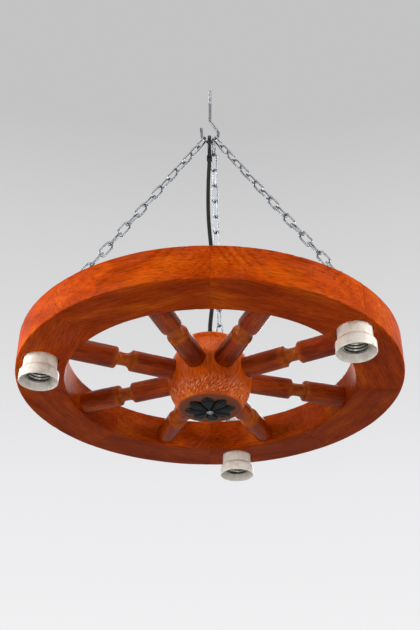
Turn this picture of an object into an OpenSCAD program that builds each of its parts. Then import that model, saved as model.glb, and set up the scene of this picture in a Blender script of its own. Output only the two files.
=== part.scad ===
// Wagon wheel chandelier: a turned wooden wheel hung on three chains from a ceiling hook,
// with three porcelain lampholders let into the underside of the rim.
// Origin: the hook's shank where it enters the ceiling. +Z up, +X right, +Y away from the viewer.
// Places round the wheel are angles from +Y towards +X.

/* [Wheel] */
// Outer diameter of the wheel
wheel_d = 450; // [440:1:460]
// Width of the rim, seen from below
rim_w = 56; // [54:1:60]
// Height of the rim
rim_h = 40; // [38:1:44]
// Rounding of the rim's long edges
rim_edge_r = 2; // [1:0.5:3]

/* [Felloe joints] */
// Glue line between two felloes
glue_line = 0.2; // [0.1:0.05:0.3]
// Diameter of the dowels
dowel_d = 8; // [6:0.5:9]
// Length of the dowels
dowel_l = 24; // [18:1:26]
// Distance between the two dowels of a joint
dowel_spread = 28; // [24:1:32]
// Wood left between a lampholder's recess and the dowels
dowel_cover = 2; // [1:0.5:3]

/* [Spokes] */
// Diameter of a spoke between hub and neck
spoke_hub_d = 24.7; // [22:0.1:27]
// Diameter of a spoke between neck and rim
spoke_rim_d = 25.4; // [22:0.1:27]
// Diameter of the neck
neck_d = 15.5; // [13:0.5:17]
// Distance of the neck's middle from the wheel's axis
neck_at = 107.5; // [100:0.5:112]
// Length of the straight part of the neck
neck_l = 4.5; // [3:0.5:8]
// Length of the cove on the hub side of the neck
hub_cove_l = 7; // [5:0.5:10]
// Length of the cove on the rim side of the neck
rim_cove_l = 6; // [5:0.5:9]
// Rounding of the shoulder on the rim side
shoulder_r = 2.5; // [1:0.5:3.5]
// Diameter of the tenons
tenon_d = 15; // [12:0.5:16]
// Depth of the tenons in hub and rim
tenon_l = 20; // [14:1:22]
// How far the spokes lie below the middle of the rim
spoke_drop = 4.5; // [3:0.5:7]

/* [Hub] */
// Largest diameter of the hub
hub_belly_d = 99.4; // [96:0.2:104]
// Diameter of the hub just above its bottom edge
hub_bottom_d = 76; // [72:1:82]
// Depth of the hub below the middle of the rim
hub_down = 46; // [44:1:50]
// Height of the hub above the middle of the rim
hub_up = 37; // [35:1:42]
// How far the belly lies below the middle of the rim
belly_drop = 8; // [5:1:11]
// Rounding of the hub's bottom edge
hub_edge_r = 3; // [1:0.5:4]
// Radius of the bead round the top
bead_r = 3.5; // [2.5:0.5:4.5]
// Diameter of the bead round the top
bead_d = 76; // [74:1:82]
// Depth of the cove under the bead
bead_cove = 2; // [1:0.5:3]
// Diameter of the wiring space in the top of the hub
cavity_d = 38; // [34:1:42]
// Diameter of the cap over the wiring space
cap_d = 48; // [46:1:54]
// Thickness of the cap
cap_t = 3; // [2:0.5:4]

/* [Rosette] */
// Diameter over the petals
rosette_d = 57.7; // [52:0.1:62]
// Number of petals
petals = 8; // [6:1:10]
// Thickness of the rosette
rosette_t = 5; // [4:0.5:7]
// Thickness of the plate behind the petals
rosette_plate_t = 2; // [1:0.5:3]
// Width of the groove between two petals
petal_gap = 1.4; // [1:0.2:2]
// Diameter of the rosette's screw head
rosette_head_d = 8; // [6:0.5:10]
// Length of the rosette's screw in the wood
rosette_screw_l = 20; // [12:1:26]

/* [Lampholders] */
// Distance of the lampholders' axes from the rim's outer face
lamp_inset = 26; // [25:0.5:28]
// Diameter of the recess in the rim
recess_d = 39.5; // [38.5:0.5:42]
// Depth of the recess in the rim
recess_depth = 22; // [20:0.5:24]
// Diameter of the lampholder's upper tier
tier_d = 37.5; // [36:0.5:38]
// Height of the upper tier that shows below the rim
tier_h = 11.5; // [10:0.5:14]
// Height of the flare below the upper tier
flare_h = 3.5; // [2.5:0.5:5]
// Height of the skirt below the flare
skirt_h = 12; // [10:0.5:15]
// Largest diameter of the skirt
skirt_d = 43.6; // [42:0.2:45]
// Thickness of the skirt's lip
lip_t = 1.8; // [1.4:0.1:2.4]
// Groove between the upper tier and the skirt
parting_gap = 0.5; // [0.3:0.1:0.8]
// Diameter of the spigot that carries the skirt
spigot_d = 33; // [32.4:0.2:34]
// Bore of the lamp's threaded shell
shell_bore_d = 26.6; // [26.4:0.1:26.8]
// Depth of the socket above the shell's flange
socket_depth = 17.5; // [17:0.5:19]
// Length of the threaded shell
shell_l = 15; // [13:0.5:15]
// Wall of the threaded shell
shell_t = 0.5; // [0.4:0.1:0.6]
// Diameter of the shell's flange
flange_d = 30.6; // [29.6:0.2:31.2]
// Depth of the shell's flange above the mouth
flange_depth = 7.5; // [6:0.5:9]
// Diameter of the centre contact
contact_d = 9; // [7:0.5:10]
// Thickness of the centre contact
contact_t = 1.2; // [0.8:0.1:1.5]
// Distance of the contact below the floor of the bore at rest
contact_reach = 2; // [1.8:0.1:3]
// Diameter of the contact's stem
contact_stem_d = 3.2; // [2.4:0.2:4]
// How far the lamp pushes the contact up
contact_travel = 1.5; // [1:0.1:1.7]
// Diameter of the lampholders' wood screws
holder_screw_d = 3.5; // [3:0.1:4]
// Head diameter of the lampholders' wood screws
holder_head_d = 6; // [5:0.2:6.4]
// Distance of the two screws from the lampholder's axis
holder_screw_at = 9.6; // [9:0.1:10]

/* [Hook] */
// Diameter of the hook's wire
hook_wire_d = 3.8; // [3.4:0.1:4]
// Radius of the bowl, to the middle of the wire
bowl_r = 11.3; // [11.2:0.1:13]
// Height of the ceiling above the bottom of the bowl
hook_rise = 75; // [70:1:90]
// Lean of the hook's free arm
tip_lean = 5; // [3:1:8]
// Length of the hook's free arm
tip_l = 16; // [12:1:20]
// Lean of the hook's back arm
back_lean = 5; // [3:1:8]
// Straight length of the back arm
back_l = 6; // [5:0.5:8]
// Slope of the hook's upper part from upright
throat_slope = 28; // [24:1:32]
// Radius of the bend at the back arm
back_bend_r = 8; // [6:0.5:9]
// Radius of the bend into the shank
neck_bend_r = 10; // [8:0.5:12]
// Diameter of the wood thread above the ceiling
screw_d = 4.6; // [4.4:0.1:5]
// Length of the wood thread, without its point
screw_l = 25; // [20:1:30]
// Length of the thread's point
screw_point_l = 5; // [4:0.5:7]

/* [Sleeve] */
// Clearance between the hook's wire and the sleeve on it
sleeve_fit = 0.1; // [0.05:0.01:0.12]
// Wall of the sleeve
sleeve_t = 0.35; // [0.3:0.05:0.4]
// Part of the bowl that the sleeve covers, in degrees
sleeve_arc = 34; // [28:1:36]
// Place of the sleeve and the cord round the bowl, in degrees
sleeve_at = -4; // [-6:0.5:-2]

/* [Chains] */
// Links in each chain
link_count = 18; // [16:1:20]
// Inner length of a link
link_pitch = 22.1; // [21.6:0.05:22.6]
// Outer width of a link
link_w = 11.4; // [10.8:0.2:11.8]
// Diameter of a link's wire
link_wire_d = 2.6; // [2.4:0.1:2.7]
// Clearance between two links of the longest chain
link_play = 0.12; // [0.08:0.02:0.2]
// Clearance between the end links and hook or eye
seat_gap = 0.4; // [0.4:0.05:0.6]

/* [Screw eyes] */
// Diameter of the eyes' wire
eye_wire_d = 3.8; // [3.4:0.2:4.2]
// Radius of the eye, to the middle of the wire
eye_r = 6; // [5.6:0.2:7]
// Height of the eye's neck above the rim
eye_neck = 6; // [4.6:0.2:8]
// Depth of the eye's thread in the rim
eye_thread_l = 14; // [10:1:14]
// Diameter of the eye's collar
eye_collar_d = 8; // [6.5:0.5:10]

/* [Wiring] */
// Diameter of the supply cord
cord_d = 5.2; // [5:0.1:5.3]
// Diameter of the branch cables
cable_d = 4.4; // [4:0.1:4.8]
// Diameter of one core
core_d = 1.6; // [1.2:0.1:1.8]
// Height of the strain relief above the cap
relief_h = 21; // [20:0.5:21.5]
// Diameter of the junction in the hub
junction_d = 22; // [20:1:26]
// Height of the junction in the hub
junction_h = 14; // [10:1:16]
// Width of the terminal block across its two poles
block_w = 12; // [11:0.5:14]
// Length of the terminal block along the wires
block_l = 14; // [12:0.5:16]
// Height of the terminal block
block_h = 15.5; // [13:0.5:17]

/* [Hidden] */

// Colours
oak_outside = "#B4441A";
oak_inside = "#A5501C";
oak_spoke = "#8A3414";
porcelain = "#CFC2AC";
zinc = "#B9BABC";
brass = "#B08D4A";
nickel = "#C9C7C2";
black_rubber = "#1C1C1E";
black_paint = "#232826";
white_plastic = "#E6E4DC";
brown_pvc = "#5A3A22";
white_pvc = "#DCDBD5";

// Fits
wood_fit = 0.1;        // round tenons, dowels and inserts in wood
seat_fit = 0.05;       // shoulders on the surfaces that they are scribed to
slide_fit = 0.3;       // the contact's stem in its hole
face_gap = 0.1;        // porcelain and metal faces that meet
cord_fit = 0.1;        // cords and cables in holes and clips

// Smoothness
round_fn = 96;
wire_fn = 24;

// Places round the wheel
sectors = 8;           // felloes and spokes
sector = 360 / sectors;
// The wheel was bored by eye, so its spokes stand unevenly, and their necks aren't all alike
spoke_angles = [25, 73, 119.5, 160, -160, -113.5, -67, -20.5];
neck_shifts = [0, 2, 0, 5, 5, 0, 2, 0];
lamp_angles = [-109.5, 130.5, 10.5];       // left, right, rear
eye_offset = -5.5;     // each chain is fixed beside its lampholder

// Wheel
rim_r = wheel_d / 2;
rim_inner_r = rim_r - rim_w;
lamp_r = rim_r - lamp_inset;
recess_top = -rim_h / 2 + recess_depth;
dowel_z = recess_top + dowel_cover + dowel_d / 2;
hole_depth_extra = 0.5;                    // a blind hole is deeper than what it holds

// Hub: the belly is an arc through the bottom edge
belly_half_h = hub_down - hub_edge_r - belly_drop;
belly_dr = hub_belly_d / 2 - hub_bottom_d / 2;
belly_arc_r = (belly_half_h * belly_half_h + belly_dr * belly_dr) / (2 * belly_dr);
belly_centre = hub_belly_d / 2 - belly_arc_r;
function belly(z) = belly_centre + sqrt(belly_arc_r * belly_arc_r - pow(z + belly_drop, 2));
bead_cove_h = 3;
belly_top_z = hub_up - 2 * bead_r - bead_cove_h;
cavity_floor = -spoke_drop + tenon_d / 2 + 5;

// Hook and chains
bowl_z = -hook_rise;
link_r = link_wire_d / 2;
hook_r = hook_wire_d / 2;
eye_wire_r = eye_wire_d / 2;
crown_r = link_w / 2 - link_r;             // middle of the wire round a link's end
side_l = link_pitch + 2 * link_r - 2 * crown_r;
// Each chain: angle of its eye, its place round the bowl, lean of its first link, turn of its eye
chain_left_at = [lamp_angles[0] + eye_offset, -58, 20, 0];
chain_right_at = [lamp_angles[1] + eye_offset, 62, -20, 0];
chain_rear_at = [lamp_angles[2] + eye_offset, 34, 0, 90];

function unit(v) = v / norm(v);
function around(phi, r, z) = [r * sin(phi), r * cos(phi), z];
function bowl_point(a) = [bowl_r * sin(a), 0, bowl_z + bowl_r * (1 - cos(a))];
function eye_centre(phi, drop) = around(phi, lamp_r, bowl_z - drop + rim_h / 2 + eye_neck + eye_r);
// Middle of the wire of the eye where the last link hangs from it
function eye_hang(c, drop, u) = c[3] == 0 ? eye_centre(c[0], drop) - eye_r * u
    : eye_centre(c[0], drop) + [0, 0, eye_r];
// Top of the first link, inside the bowl, for a chain that runs along u
function chain_top(c, u) = let (t = [cos(c[1]), 0, sin(c[1])], w = unit(u - (u * t) * t))
    bowl_point(c[1]) - (hook_r + link_r + seat_gap) * w;
function chain_end(c, drop, u) = eye_hang(c, drop, u) + (eye_wire_r + link_r + seat_gap) * u;
function chain_dir(c, drop, n) = n == 0 ? unit(eye_centre(c[0], drop) - bowl_point(c[1]))
    : let (u = chain_dir(c, drop, n - 1)) unit(chain_end(c, drop, u) - chain_top(c, u));
function chain_length(c, drop) = let (u = chain_dir(c, drop, fit_steps))
    norm(chain_end(c, drop, u) - chain_top(c, u));
full_length = link_count * link_pitch + 2 * link_r;
fit_steps = 5;
drop_guess = 5 * wheel_d / 6;
// The drop at which the rear chain, the longest, hangs with the stated play
function fit_drop(drop, n) = n == 0 ? drop
    : fit_drop(drop + (full_length - (link_count - 1) * link_play
        - chain_length(chain_rear_at, drop)) * chain_length(chain_rear_at, drop) / drop, n - 1);
drop = fit_drop(drop_guess, fit_steps);
wheel_z = bowl_z - drop;

// Lampholder heights, from the middle of the rim
base_top = recess_top - face_gap;
tier_bottom = -rim_h / 2 - tier_h;
mouth_z = tier_bottom - flare_h - skirt_h;
flange_z = mouth_z + flange_depth;
bore_floor = flange_z + socket_depth;
spigot_end = flange_z + shell_t + face_gap;
shell_r = shell_bore_d / 2 + shell_t;
wire_hole_at = [-8, -12.5];                // from the lampholder's axis: along the rim, outwards
rear_lead_at = [[10.5, -12], [10.5, -6]];
wire_entry_l = 5;                          // depth of the wires' bores in the base
holder_bite = 11;                          // length of the holder screws in the wood
holder_seat_h = 6;                         // depth of the pockets for their heads
holder_head_h = 2.2;
stem_l = 12;
skirt_inner_r = flange_d / 2 + 0.4;
lip_edge = 1;

// Wiring places, from the middle of the rim
cable_exit = 4.5;      // the three branch cables leave the hub side by side at this angle
cable_exit_z = 15;
cable_step = 6;
relief_wall = 2.4;
relief_top = hub_up + relief_h;
relief_tip_wall = 0.8;
relief_foot = [1.5, 2.5];                  // how far the foot under the cap stands out, its height
relief_collar = [2, 2];                    // the same of the collar on the cap
clip_angles = [-95, -65, -35, 40, 75, 110];
clip_l = 6;
clip_wall = 1.2;
clip_foot = [14, 2];
block_at = [0, -9];
pole_pitch = 6;
block_cable_z = rim_h / 2 + 6;

// Route of the supply cord from the strain relief up to the hook, over it and down behind
cord_route = [
    [0, 0, -390.3], [0.3, 0, -380], [1.5, 0, -366], [3, -0.5, -350], [4, -1, -330], [4, -1, -308],
    [3, -1.5, -285], [1.4, -2, -262], [-0.4, -2.5, -240], [-1.8, -3, -218], [-2.4, -3, -196],
    [-2.5, -3, -174], [-2.2, -3, -152], [-1.6, -3, -132], [-1, -2.7, -116], [-0.8, -2.7, -104],
    [-0.8, -3.3, -96.8], [-0.8, -5.4, -91.3], [-0.8, -8.2, -87.4], [-0.8, -10, -83.2],
    [-0.8, -10.4, -79.8], [-0.8, -9, -74.6], [-0.8, -5.2, -70.8], [-0.8, 0, -69.4],
    [-0.8, 5.2, -70.8], [-0.8, 9, -74.6], [-0.8, 10.4, -79.8], [-0.8, 10, -83.2],
    [-0.8, 8.2, -87.4], [-0.8, 5.4, -91.3], [-0.8, 3.3, -96.8], [-0.8, 2.7, -104],
    [-1, 2.7, -116], [-1.6, 3, -128], [-2, 3.4, -140]
];
tie_z = -108;
tie_h = 3.6;
tie_at = -0.8;
tie_spread = 5.4;
tie_wall = 1;
tie_lock = [4, 3, 4.8];
// Routes of the branch cables: [angle round the wheel, distance from its axis, height]
cable_r = lamp_r - 13;
top_z = rim_h / 2 + 0.3 + cable_d / 2;
entry_end = base_top - wire_entry_l + 0.5;
function beside(side, y, z) = [cable_exit + atan2(side, y), norm([side, y]), z];
// From the junction in the hub across to the top of the rim
function span_route(side, start) = [
    beside(side, start, cable_exit_z), beside(side, 24, cable_exit_z), beside(side, 46, cable_exit_z),
    beside(side, 58, 15.3), beside(side, 74, 18.2), beside(side, 102, 22.6), beside(side, 130, 25.8),
    beside(side, 154, 27.2)
];
// Down into the hole over a lampholder, from the side that is given
function dive_route(hole, side) = [
    [hole + 7.5 * side, cable_r, top_z], [hole + 4.8 * side, cable_r, top_z + 0.8],
    [hole + 2.8 * side, cable_r + 0.2, top_z + 3], [hole + 0.9 * side, cable_r + 0.5, top_z + 3.4],
    [hole + 0.07 * side, cable_r + 0.7, top_z], [hole, cable_r + 0.7, top_z - 6],
    [hole, cable_r + 0.7, entry_end]
];
function hole_angle(i) = lamp_angles[i] + atan2(wire_hole_at.x, lamp_r + wire_hole_at.y);
left_route = concat(span_route(-cable_step, 10.6), [
    [2.3, rim_inner_r - 1, 26.6], [1.9, rim_inner_r + 6, 24.6], [0.4, cable_r - 5.5, top_z + 0.4],
    [-2.8, cable_r - 1.6, top_z]
], [for (a = [-8 : -6 : -98]) [a, cable_r, top_z]], dive_route(hole_angle(0), 1));
right_route = concat(span_route(cable_step, 10.6), [
    [6.7, rim_inner_r - 4, 26.9], [7.8, rim_inner_r + 4, 25], [10.2, rim_inner_r + 7.8, top_z + 0.6],
    [13.4, rim_inner_r + 8.6, top_z], [17, cable_r - 5.8, top_z], [21.5, cable_r - 1.6, top_z]
], [for (a = [27 : 6 : 117]) [a, cable_r, top_z]], dive_route(hole_angle(1), -1));
rear_route = concat(span_route(0, 11.2), [
    [4.5, rim_inner_r - 3, 27.2], [4.5, rim_inner_r + 6, 26.6], [4.6, rim_inner_r + 13, 26.2],
    [5.3, lamp_r - 10.9, block_cable_z], [6.1, lamp_r - 9.2, block_cable_z],
    [6.6, lamp_r - 8.7, block_cable_z], [7.1, lamp_r - 8.6, block_cable_z]
]);

function dir_at(p, i) = unit(p[min(i + 1, len(p) - 1)] - p[max(i - 1, 0)]);
function blend_point(a, b, da, db, s) = let (l = norm(b - a))
    a * (2 * s * s * s - 3 * s * s + 1) + b * (3 * s * s - 2 * s * s * s)
    + da * l * (s * s * s - 2 * s * s + s) + db * l * (s * s * s - s * s);
function smooth(p, n) = [
    for (i = [0 : len(p) - 2], k = [0 : n - 1])
        blend_point(p[i], p[i + 1], dir_at(p, i), dir_at(p, i + 1), k / n),
    p[len(p) - 1]
];
// Normals carried along a path without twist
function carried(p, n0) = [
    for (i = 0, n = n0; i < len(p); i = i + 1,
         n = i < len(p) ? unit(n - (n * dir_at(p, i)) * dir_at(p, i)) : n) n
];

// A tube of radius r along the points p; n0 is any direction across its start
module tube(p, r, sides, n0) {
    normals = carried(p, unit(n0 - (n0 * dir_at(p, 0)) * dir_at(p, 0)));
    points = [
        for (i = [0 : len(p) - 1], k = [0 : sides - 1])
            p[i] + r * (cos(360 * k / sides) * normals[i]
                + sin(360 * k / sides) * cross(dir_at(p, i), normals[i]))
    ];
    last = (len(p) - 1) * sides;
    sides_faces = [
        for (i = [0 : len(p) - 2], k = [0 : sides - 1])
            let (a = i * sides + k, b = i * sides + (k + 1) % sides)
                each [[a, b + sides, b], [a, a + sides, b + sides]]
    ];
    ends = [[for (k = [0 : sides - 1]) k], [for (k = [0 : sides - 1]) last + sides - 1 - k]];
    polyhedron(points, concat(sides_faces, ends), convexity = 6);
}

// A round rod from a to b
module rod(a, b, r) {
    v = b - a;
    translate(a)
        rotate([0, acos(v.z / norm(v)), atan2(v.y, v.x)])
            cylinder(h = norm(v), r = r, $fn = wire_fn);
}

// Part of a round wire ring about Z
module ring_part(ring_r, wire_r, from, sweep) {
    rotate_extrude(angle = sweep, start = from, $fn = round_fn)
        translate([ring_r, 0])
            circle(r = wire_r, $fn = wire_fn);
}

// Places children at an angle round the wheel: X along the rim, Y outwards
module at_angle(phi) {
    translate([0, 0, wheel_z])
        rotate(-phi)
            children();
}

module at_lamp(i) {
    at_angle(lamp_angles[i])
        translate([0, lamp_r, 0])
            children();
}

// ---- Hook and sleeve ----

// The hook's outline lies in the XZ plane. Heading h leans from upright towards +X.
back_start = [bowl_r * cos(back_lean), bowl_z + bowl_r * (1 - sin(back_lean))];
hair = 0.02;
function along(p, h, l) = p + l * [sin(h), cos(h)];
back_top = along(back_start, back_lean, back_l);
back_bend_c = back_top + back_bend_r * [-cos(back_lean), sin(back_lean)];
throat_start = back_bend_c + back_bend_r * [cos(throat_slope), sin(throat_slope)];
throat_l = (throat_start.x - neck_bend_r * (1 - cos(throat_slope))) / sin(throat_slope);
throat_end = along(throat_start, -throat_slope, throat_l);
shank_z = throat_end.y + neck_bend_r * sin(throat_slope);

module in_hook_plane(c) {
    translate([c.x, 0, c.y])
        rotate([90, 0, 0])
            children();
}

// Straight wire from a to b. It runs a little way into the bends at its ends and is a hair
// thinner, so that its surface meets theirs cleanly.
module hook_rod(a, b) {
    lap = 0.3 * unit(b - a);
    rod([a.x - lap.x, 0, a.y - lap.y], [b.x + lap.x, 0, b.y + lap.y], hook_r - hair);
}

module ceiling_hook() {
    bowl_c = [0, bowl_z + bowl_r];
    tip_start = bowl_c + bowl_r * [-cos(tip_lean), -sin(tip_lean)];
    tip_end = along(tip_start, -tip_lean, tip_l);
    color(zinc) {
        hook_rod(tip_start, tip_end);
        translate([tip_end.x, 0, tip_end.y])
            sphere(r = hook_r, $fn = wire_fn);
        in_hook_plane(bowl_c)
            ring_part(bowl_r, hook_r, 180 + tip_lean, 180 - tip_lean - back_lean);
        hook_rod(back_start, back_top);
        in_hook_plane(back_bend_c)
            ring_part(back_bend_r, hook_r, -back_lean, back_lean + throat_slope);
        hook_rod(throat_start, throat_end);
        in_hook_plane([neck_bend_r, shank_z])
            ring_part(neck_bend_r, hook_r, 180, throat_slope);
        hook_rod([0, shank_z], [0, 0]);
        cylinder(h = screw_l, r = screw_d / 2, $fn = round_fn);
        translate([0, 0, screw_l])
            cylinder(h = screw_point_l, r1 = screw_d / 2, r2 = 0.4, $fn = round_fn);
    }
}

module hook_sleeve() {
    color(black_rubber)
        in_hook_plane([0, bowl_z + bowl_r])
            rotate_extrude(angle = sleeve_arc, start = 270 + sleeve_at - sleeve_arc / 2, $fn = round_fn)
                translate([bowl_r, 0])
                    difference() {
                        circle(r = hook_r + sleeve_fit + sleeve_t, $fn = wire_fn);
                        circle(r = hook_r + sleeve_fit, $fn = wire_fn);
                    }
}

// ---- Chains ----

// One link in the XY plane, the top of its wire at the origin, its length along Y
module link() {
    translate([0, crown_r, 0])
        ring_part(crown_r, link_r, 180, 180);
    translate([0, crown_r + side_l, 0])
        ring_part(crown_r, link_r, 0, 180);
    for (side = [-1, 1])
        translate([side * crown_r, crown_r, 0])
            rotate([-90, 0, 0])
                cylinder(h = side_l, r = link_r, $fn = wire_fn);
}

// The chain's links stand crosswise to their neighbours, with a slight twist shared over its length
module chain(c) {
    u = chain_dir(c, drop, fit_steps);
    top = chain_top(c, u);
    play = (full_length - chain_length(c, drop)) / (link_count - 1);
    across = [cos(c[0]), -sin(c[0]), 0];
    up = cross(u, across);
    first = unit(cross(u, [cos(c[1]), 0, sin(c[1])]));
    roll = atan2(first * up, first * across) + c[2] - c[3] - (link_count - 1) * 90;
    twist = (roll - 180 * round(roll / 180)) / (link_count - 1);
    color(zinc)
        for (k = [0 : link_count - 1]) {
            turn = c[3] + (link_count - 1 - k) * (90 + twist);
            side = cos(turn) * across + sin(turn) * up;
            face = cross(side, u);
            place = top + k * (link_pitch - play) * u;
            multmatrix([
                [side.x, u.x, face.x, place.x],
                [side.y, u.y, face.y, place.y],
                [side.z, u.z, face.z, place.z]
            ])
                link();
        }
}

module chain_left() {
    chain(chain_left_at);
}

module chain_right() {
    chain(chain_right_at);
}

module chain_rear() {
    chain(chain_rear_at);
}

module screw_eye(turn) {
    translate([0, 0, rim_h / 2]) {
        translate([0, 0, -eye_thread_l])
            cylinder(h = eye_thread_l + eye_neck, r = eye_wire_r, $fn = wire_fn);
        cylinder(h = 1, r = eye_collar_d / 2, $fn = wire_fn);
        translate([0, 0, eye_neck + eye_r])
            rotate([90, 0, 90 + turn])
                ring_part(eye_r, eye_wire_r, 0, 360);
    }
}

module screw_eyes() {
    color(zinc)
        for (c = [chain_left_at, chain_right_at, chain_rear_at])
            at_angle(c[0])
                translate([0, lamp_r, 0])
                    screw_eye(c[3]);
}

// ---- Rim ----

module rim_outline() {
    w = rim_w - 2 * rim_edge_r;
    h = rim_h - 2 * rim_edge_r;
    translate([rim_inner_r + rim_edge_r, -h / 2])
        square([w, h]);
    translate([rim_inner_r, -h / 2])
        square([rim_w, h]);
    translate([rim_inner_r + rim_edge_r, -rim_h / 2])
        square([w, rim_h]);
    for (x = [rim_inner_r + rim_edge_r, rim_r - rim_edge_r], y = [-h / 2, h / 2])
        translate([x, y])
            circle(r = rim_edge_r, $fn = wire_fn);
}

// The two dowels of the joint at angle phi, made wider and longer by grow
module joint_dowels(phi, grow, longer) {
    at_angle(phi)
        for (side = [-1, 1])
            translate([-dowel_l / 2 - longer, lamp_r + side * dowel_spread / 2, dowel_z])
                rotate([0, 90, 0])
                    cylinder(h = dowel_l + 2 * longer, r = dowel_d / 2 + grow, $fn = round_fn);
}

// Bores for the wires that enter a lampholder's base from above
module wire_entries(i, from, length) {
    bore_r = (i == 2 ? core_d : cable_d) / 2 + cord_fit;
    for (p = i == 2 ? rear_lead_at : [wire_hole_at])
        translate([p.x, p.y, from])
            cylinder(h = length, r = bore_r, $fn = wire_fn);
}

// Everything drilled from the lampholders' side: recess, wire hole and screw holes
module lamp_holes() {
    for (i = [0 : 2])
        at_lamp(i) {
            translate([0, 0, -rim_h / 2 - 1])
                cylinder(h = recess_depth + 1, r = recess_d / 2, $fn = round_fn);
            wire_entries(i, recess_top - 1, rim_h);
            for (side = [-1, 1])
                translate([0, side * holder_screw_at, recess_top - 1])
                    cylinder(h = holder_bite + hole_depth_extra + 1,
                             r = holder_screw_d / 2 + wood_fit, $fn = wire_fn);
        }
    for (c = [chain_left_at, chain_right_at, chain_rear_at])
        at_angle(c[0])
            translate([0, lamp_r, rim_h / 2 - eye_thread_l - hole_depth_extra])
                cylinder(h = rim_h, r = eye_wire_r + wood_fit, $fn = wire_fn);
}

module felloe(k) {
    start = k * sector;
    color(oak_outside)
        difference() {
            translate([0, 0, wheel_z])
                rotate_extrude(angle = sector, start = 90 - start - sector, $fn = round_fn)
                    rim_outline();
            for (phi = [start, start + sector]) {
                at_angle(phi)
                    translate([-glue_line / 2, rim_inner_r - 1, -rim_h])
                        cube([glue_line, rim_w + 2, 2 * rim_h]);
                joint_dowels(phi, wood_fit, hole_depth_extra);
            }
            at_angle(spoke_angles[k])
                translate([0, rim_inner_r - 1, -spoke_drop])
                    rotate([-90, 0, 0])
                        cylinder(h = tenon_l + 1 + hole_depth_extra, r = tenon_d / 2 + wood_fit,
                                 $fn = round_fn);
            lamp_holes();
        }
}

module felloe_dowels() {
    color(oak_inside)
        for (k = [0 : sectors - 1])
            joint_dowels(k * sector, 0, 0);
}

// ---- Spokes and hub ----

hub_fall = (spoke_hub_d - neck_d) / 2;
rim_fall = (spoke_rim_d - neck_d) / 2;
arc_steps = 6;
belly_steps = 16;
cove_from = 35;        // the hub-side cove starts at this part of its quarter circle
// Half outline of a spoke's turned body: [distance from the wheel's axis, radius]
function spoke_outline(shift) = let (neck_in = neck_at + shift - neck_l / 2, neck_out = neck_in + neck_l) [
    [hub_bottom_d / 2, 0],
    [hub_bottom_d / 2, spoke_hub_d / 2],
    [neck_in - hub_cove_l, spoke_hub_d / 2],
    for (i = [1 : arc_steps]) let (a = cove_from + (90 - cove_from) * i / arc_steps)
        [neck_in - hub_cove_l * cos(a) / cos(cove_from),
         neck_d / 2 + hub_fall * (1 - sin(a)) / (1 - sin(cove_from))],
    for (i = [0 : arc_steps]) let (a = 90 * i / arc_steps)
        [neck_out + rim_cove_l * sin(a), neck_d / 2 + (rim_fall - shoulder_r) * (1 - cos(a))],
    for (i = [1 : arc_steps]) let (a = 90 * i / arc_steps)
        [neck_out + rim_cove_l + shoulder_r * (1 - cos(a)), spoke_rim_d / 2 - shoulder_r * (1 - sin(a))],
    [rim_r, spoke_rim_d / 2],
    [rim_r, 0]
];

hub_outline = [
    [0, -hub_down],
    for (i = [0 : arc_steps]) let (a = 90 * i / arc_steps)
        [hub_bottom_d / 2 - hub_edge_r * (1 - sin(a)), -hub_down + hub_edge_r * (1 - cos(a))],
    for (i = [1 : belly_steps])
        let (z = -hub_down + hub_edge_r + (belly_top_z + hub_down - hub_edge_r) * i / belly_steps)
            [belly(z), z],
    [bead_d / 2 - bead_r - bead_cove / 2, belly_top_z + bead_cove_h / 2],
    for (i = [0 : 2 * arc_steps]) let (a = -90 + 90 * i / arc_steps)
        [bead_d / 2 - bead_r + bead_r * cos(a), hub_up - bead_r + bead_r * sin(a)],
    [0, hub_up]
];

module hub_blank(grow) {
    translate([0, 0, wheel_z])
        rotate_extrude($fn = round_fn)
            polygon([for (p = hub_outline) [p.x == 0 ? 0 : p.x + grow, p.y]]);
}

// Children lie along +Z and are turned to lie along the spoke at angle phi
module along_spoke(phi) {
    at_angle(phi)
        translate([0, 0, -spoke_drop])
            rotate([-90, 0, 0])
                children();
}

hub_tenon_end = hub_belly_d / 2 - tenon_l;
tenon_root = 4;        // length of a tenon's cylinder inside the spoke's body

// The spoke's body is scribed to the hub and to the rim's inner face
module spoke_body(phi, shift) {
    difference() {
        intersection() {
            along_spoke(phi)
                rotate_extrude($fn = round_fn)
                    polygon([for (p = spoke_outline(shift)) [p.y, p.x]]);
            translate([0, 0, wheel_z - rim_h])
                cylinder(h = 2 * rim_h, r = rim_inner_r - seat_fit, $fn = round_fn);
        }
        hub_blank(seat_fit);
    }
}

// A tenon beside a lampholder is cut back when the holder's recess is bored
module spoke(k) {
    phi = spoke_angles[k];
    color(oak_spoke) {
        spoke_body(phi, neck_shifts[k]);
        along_spoke(phi)
            translate([0, 0, hub_tenon_end])
                cylinder(h = tenon_l + tenon_root, r = tenon_d / 2, $fn = round_fn);
        difference() {
            along_spoke(phi)
                translate([0, 0, rim_inner_r - tenon_root])
                    cylinder(h = tenon_l + tenon_root, r = tenon_d / 2, $fn = round_fn);
            lamp_holes();
        }
    }
}

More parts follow.
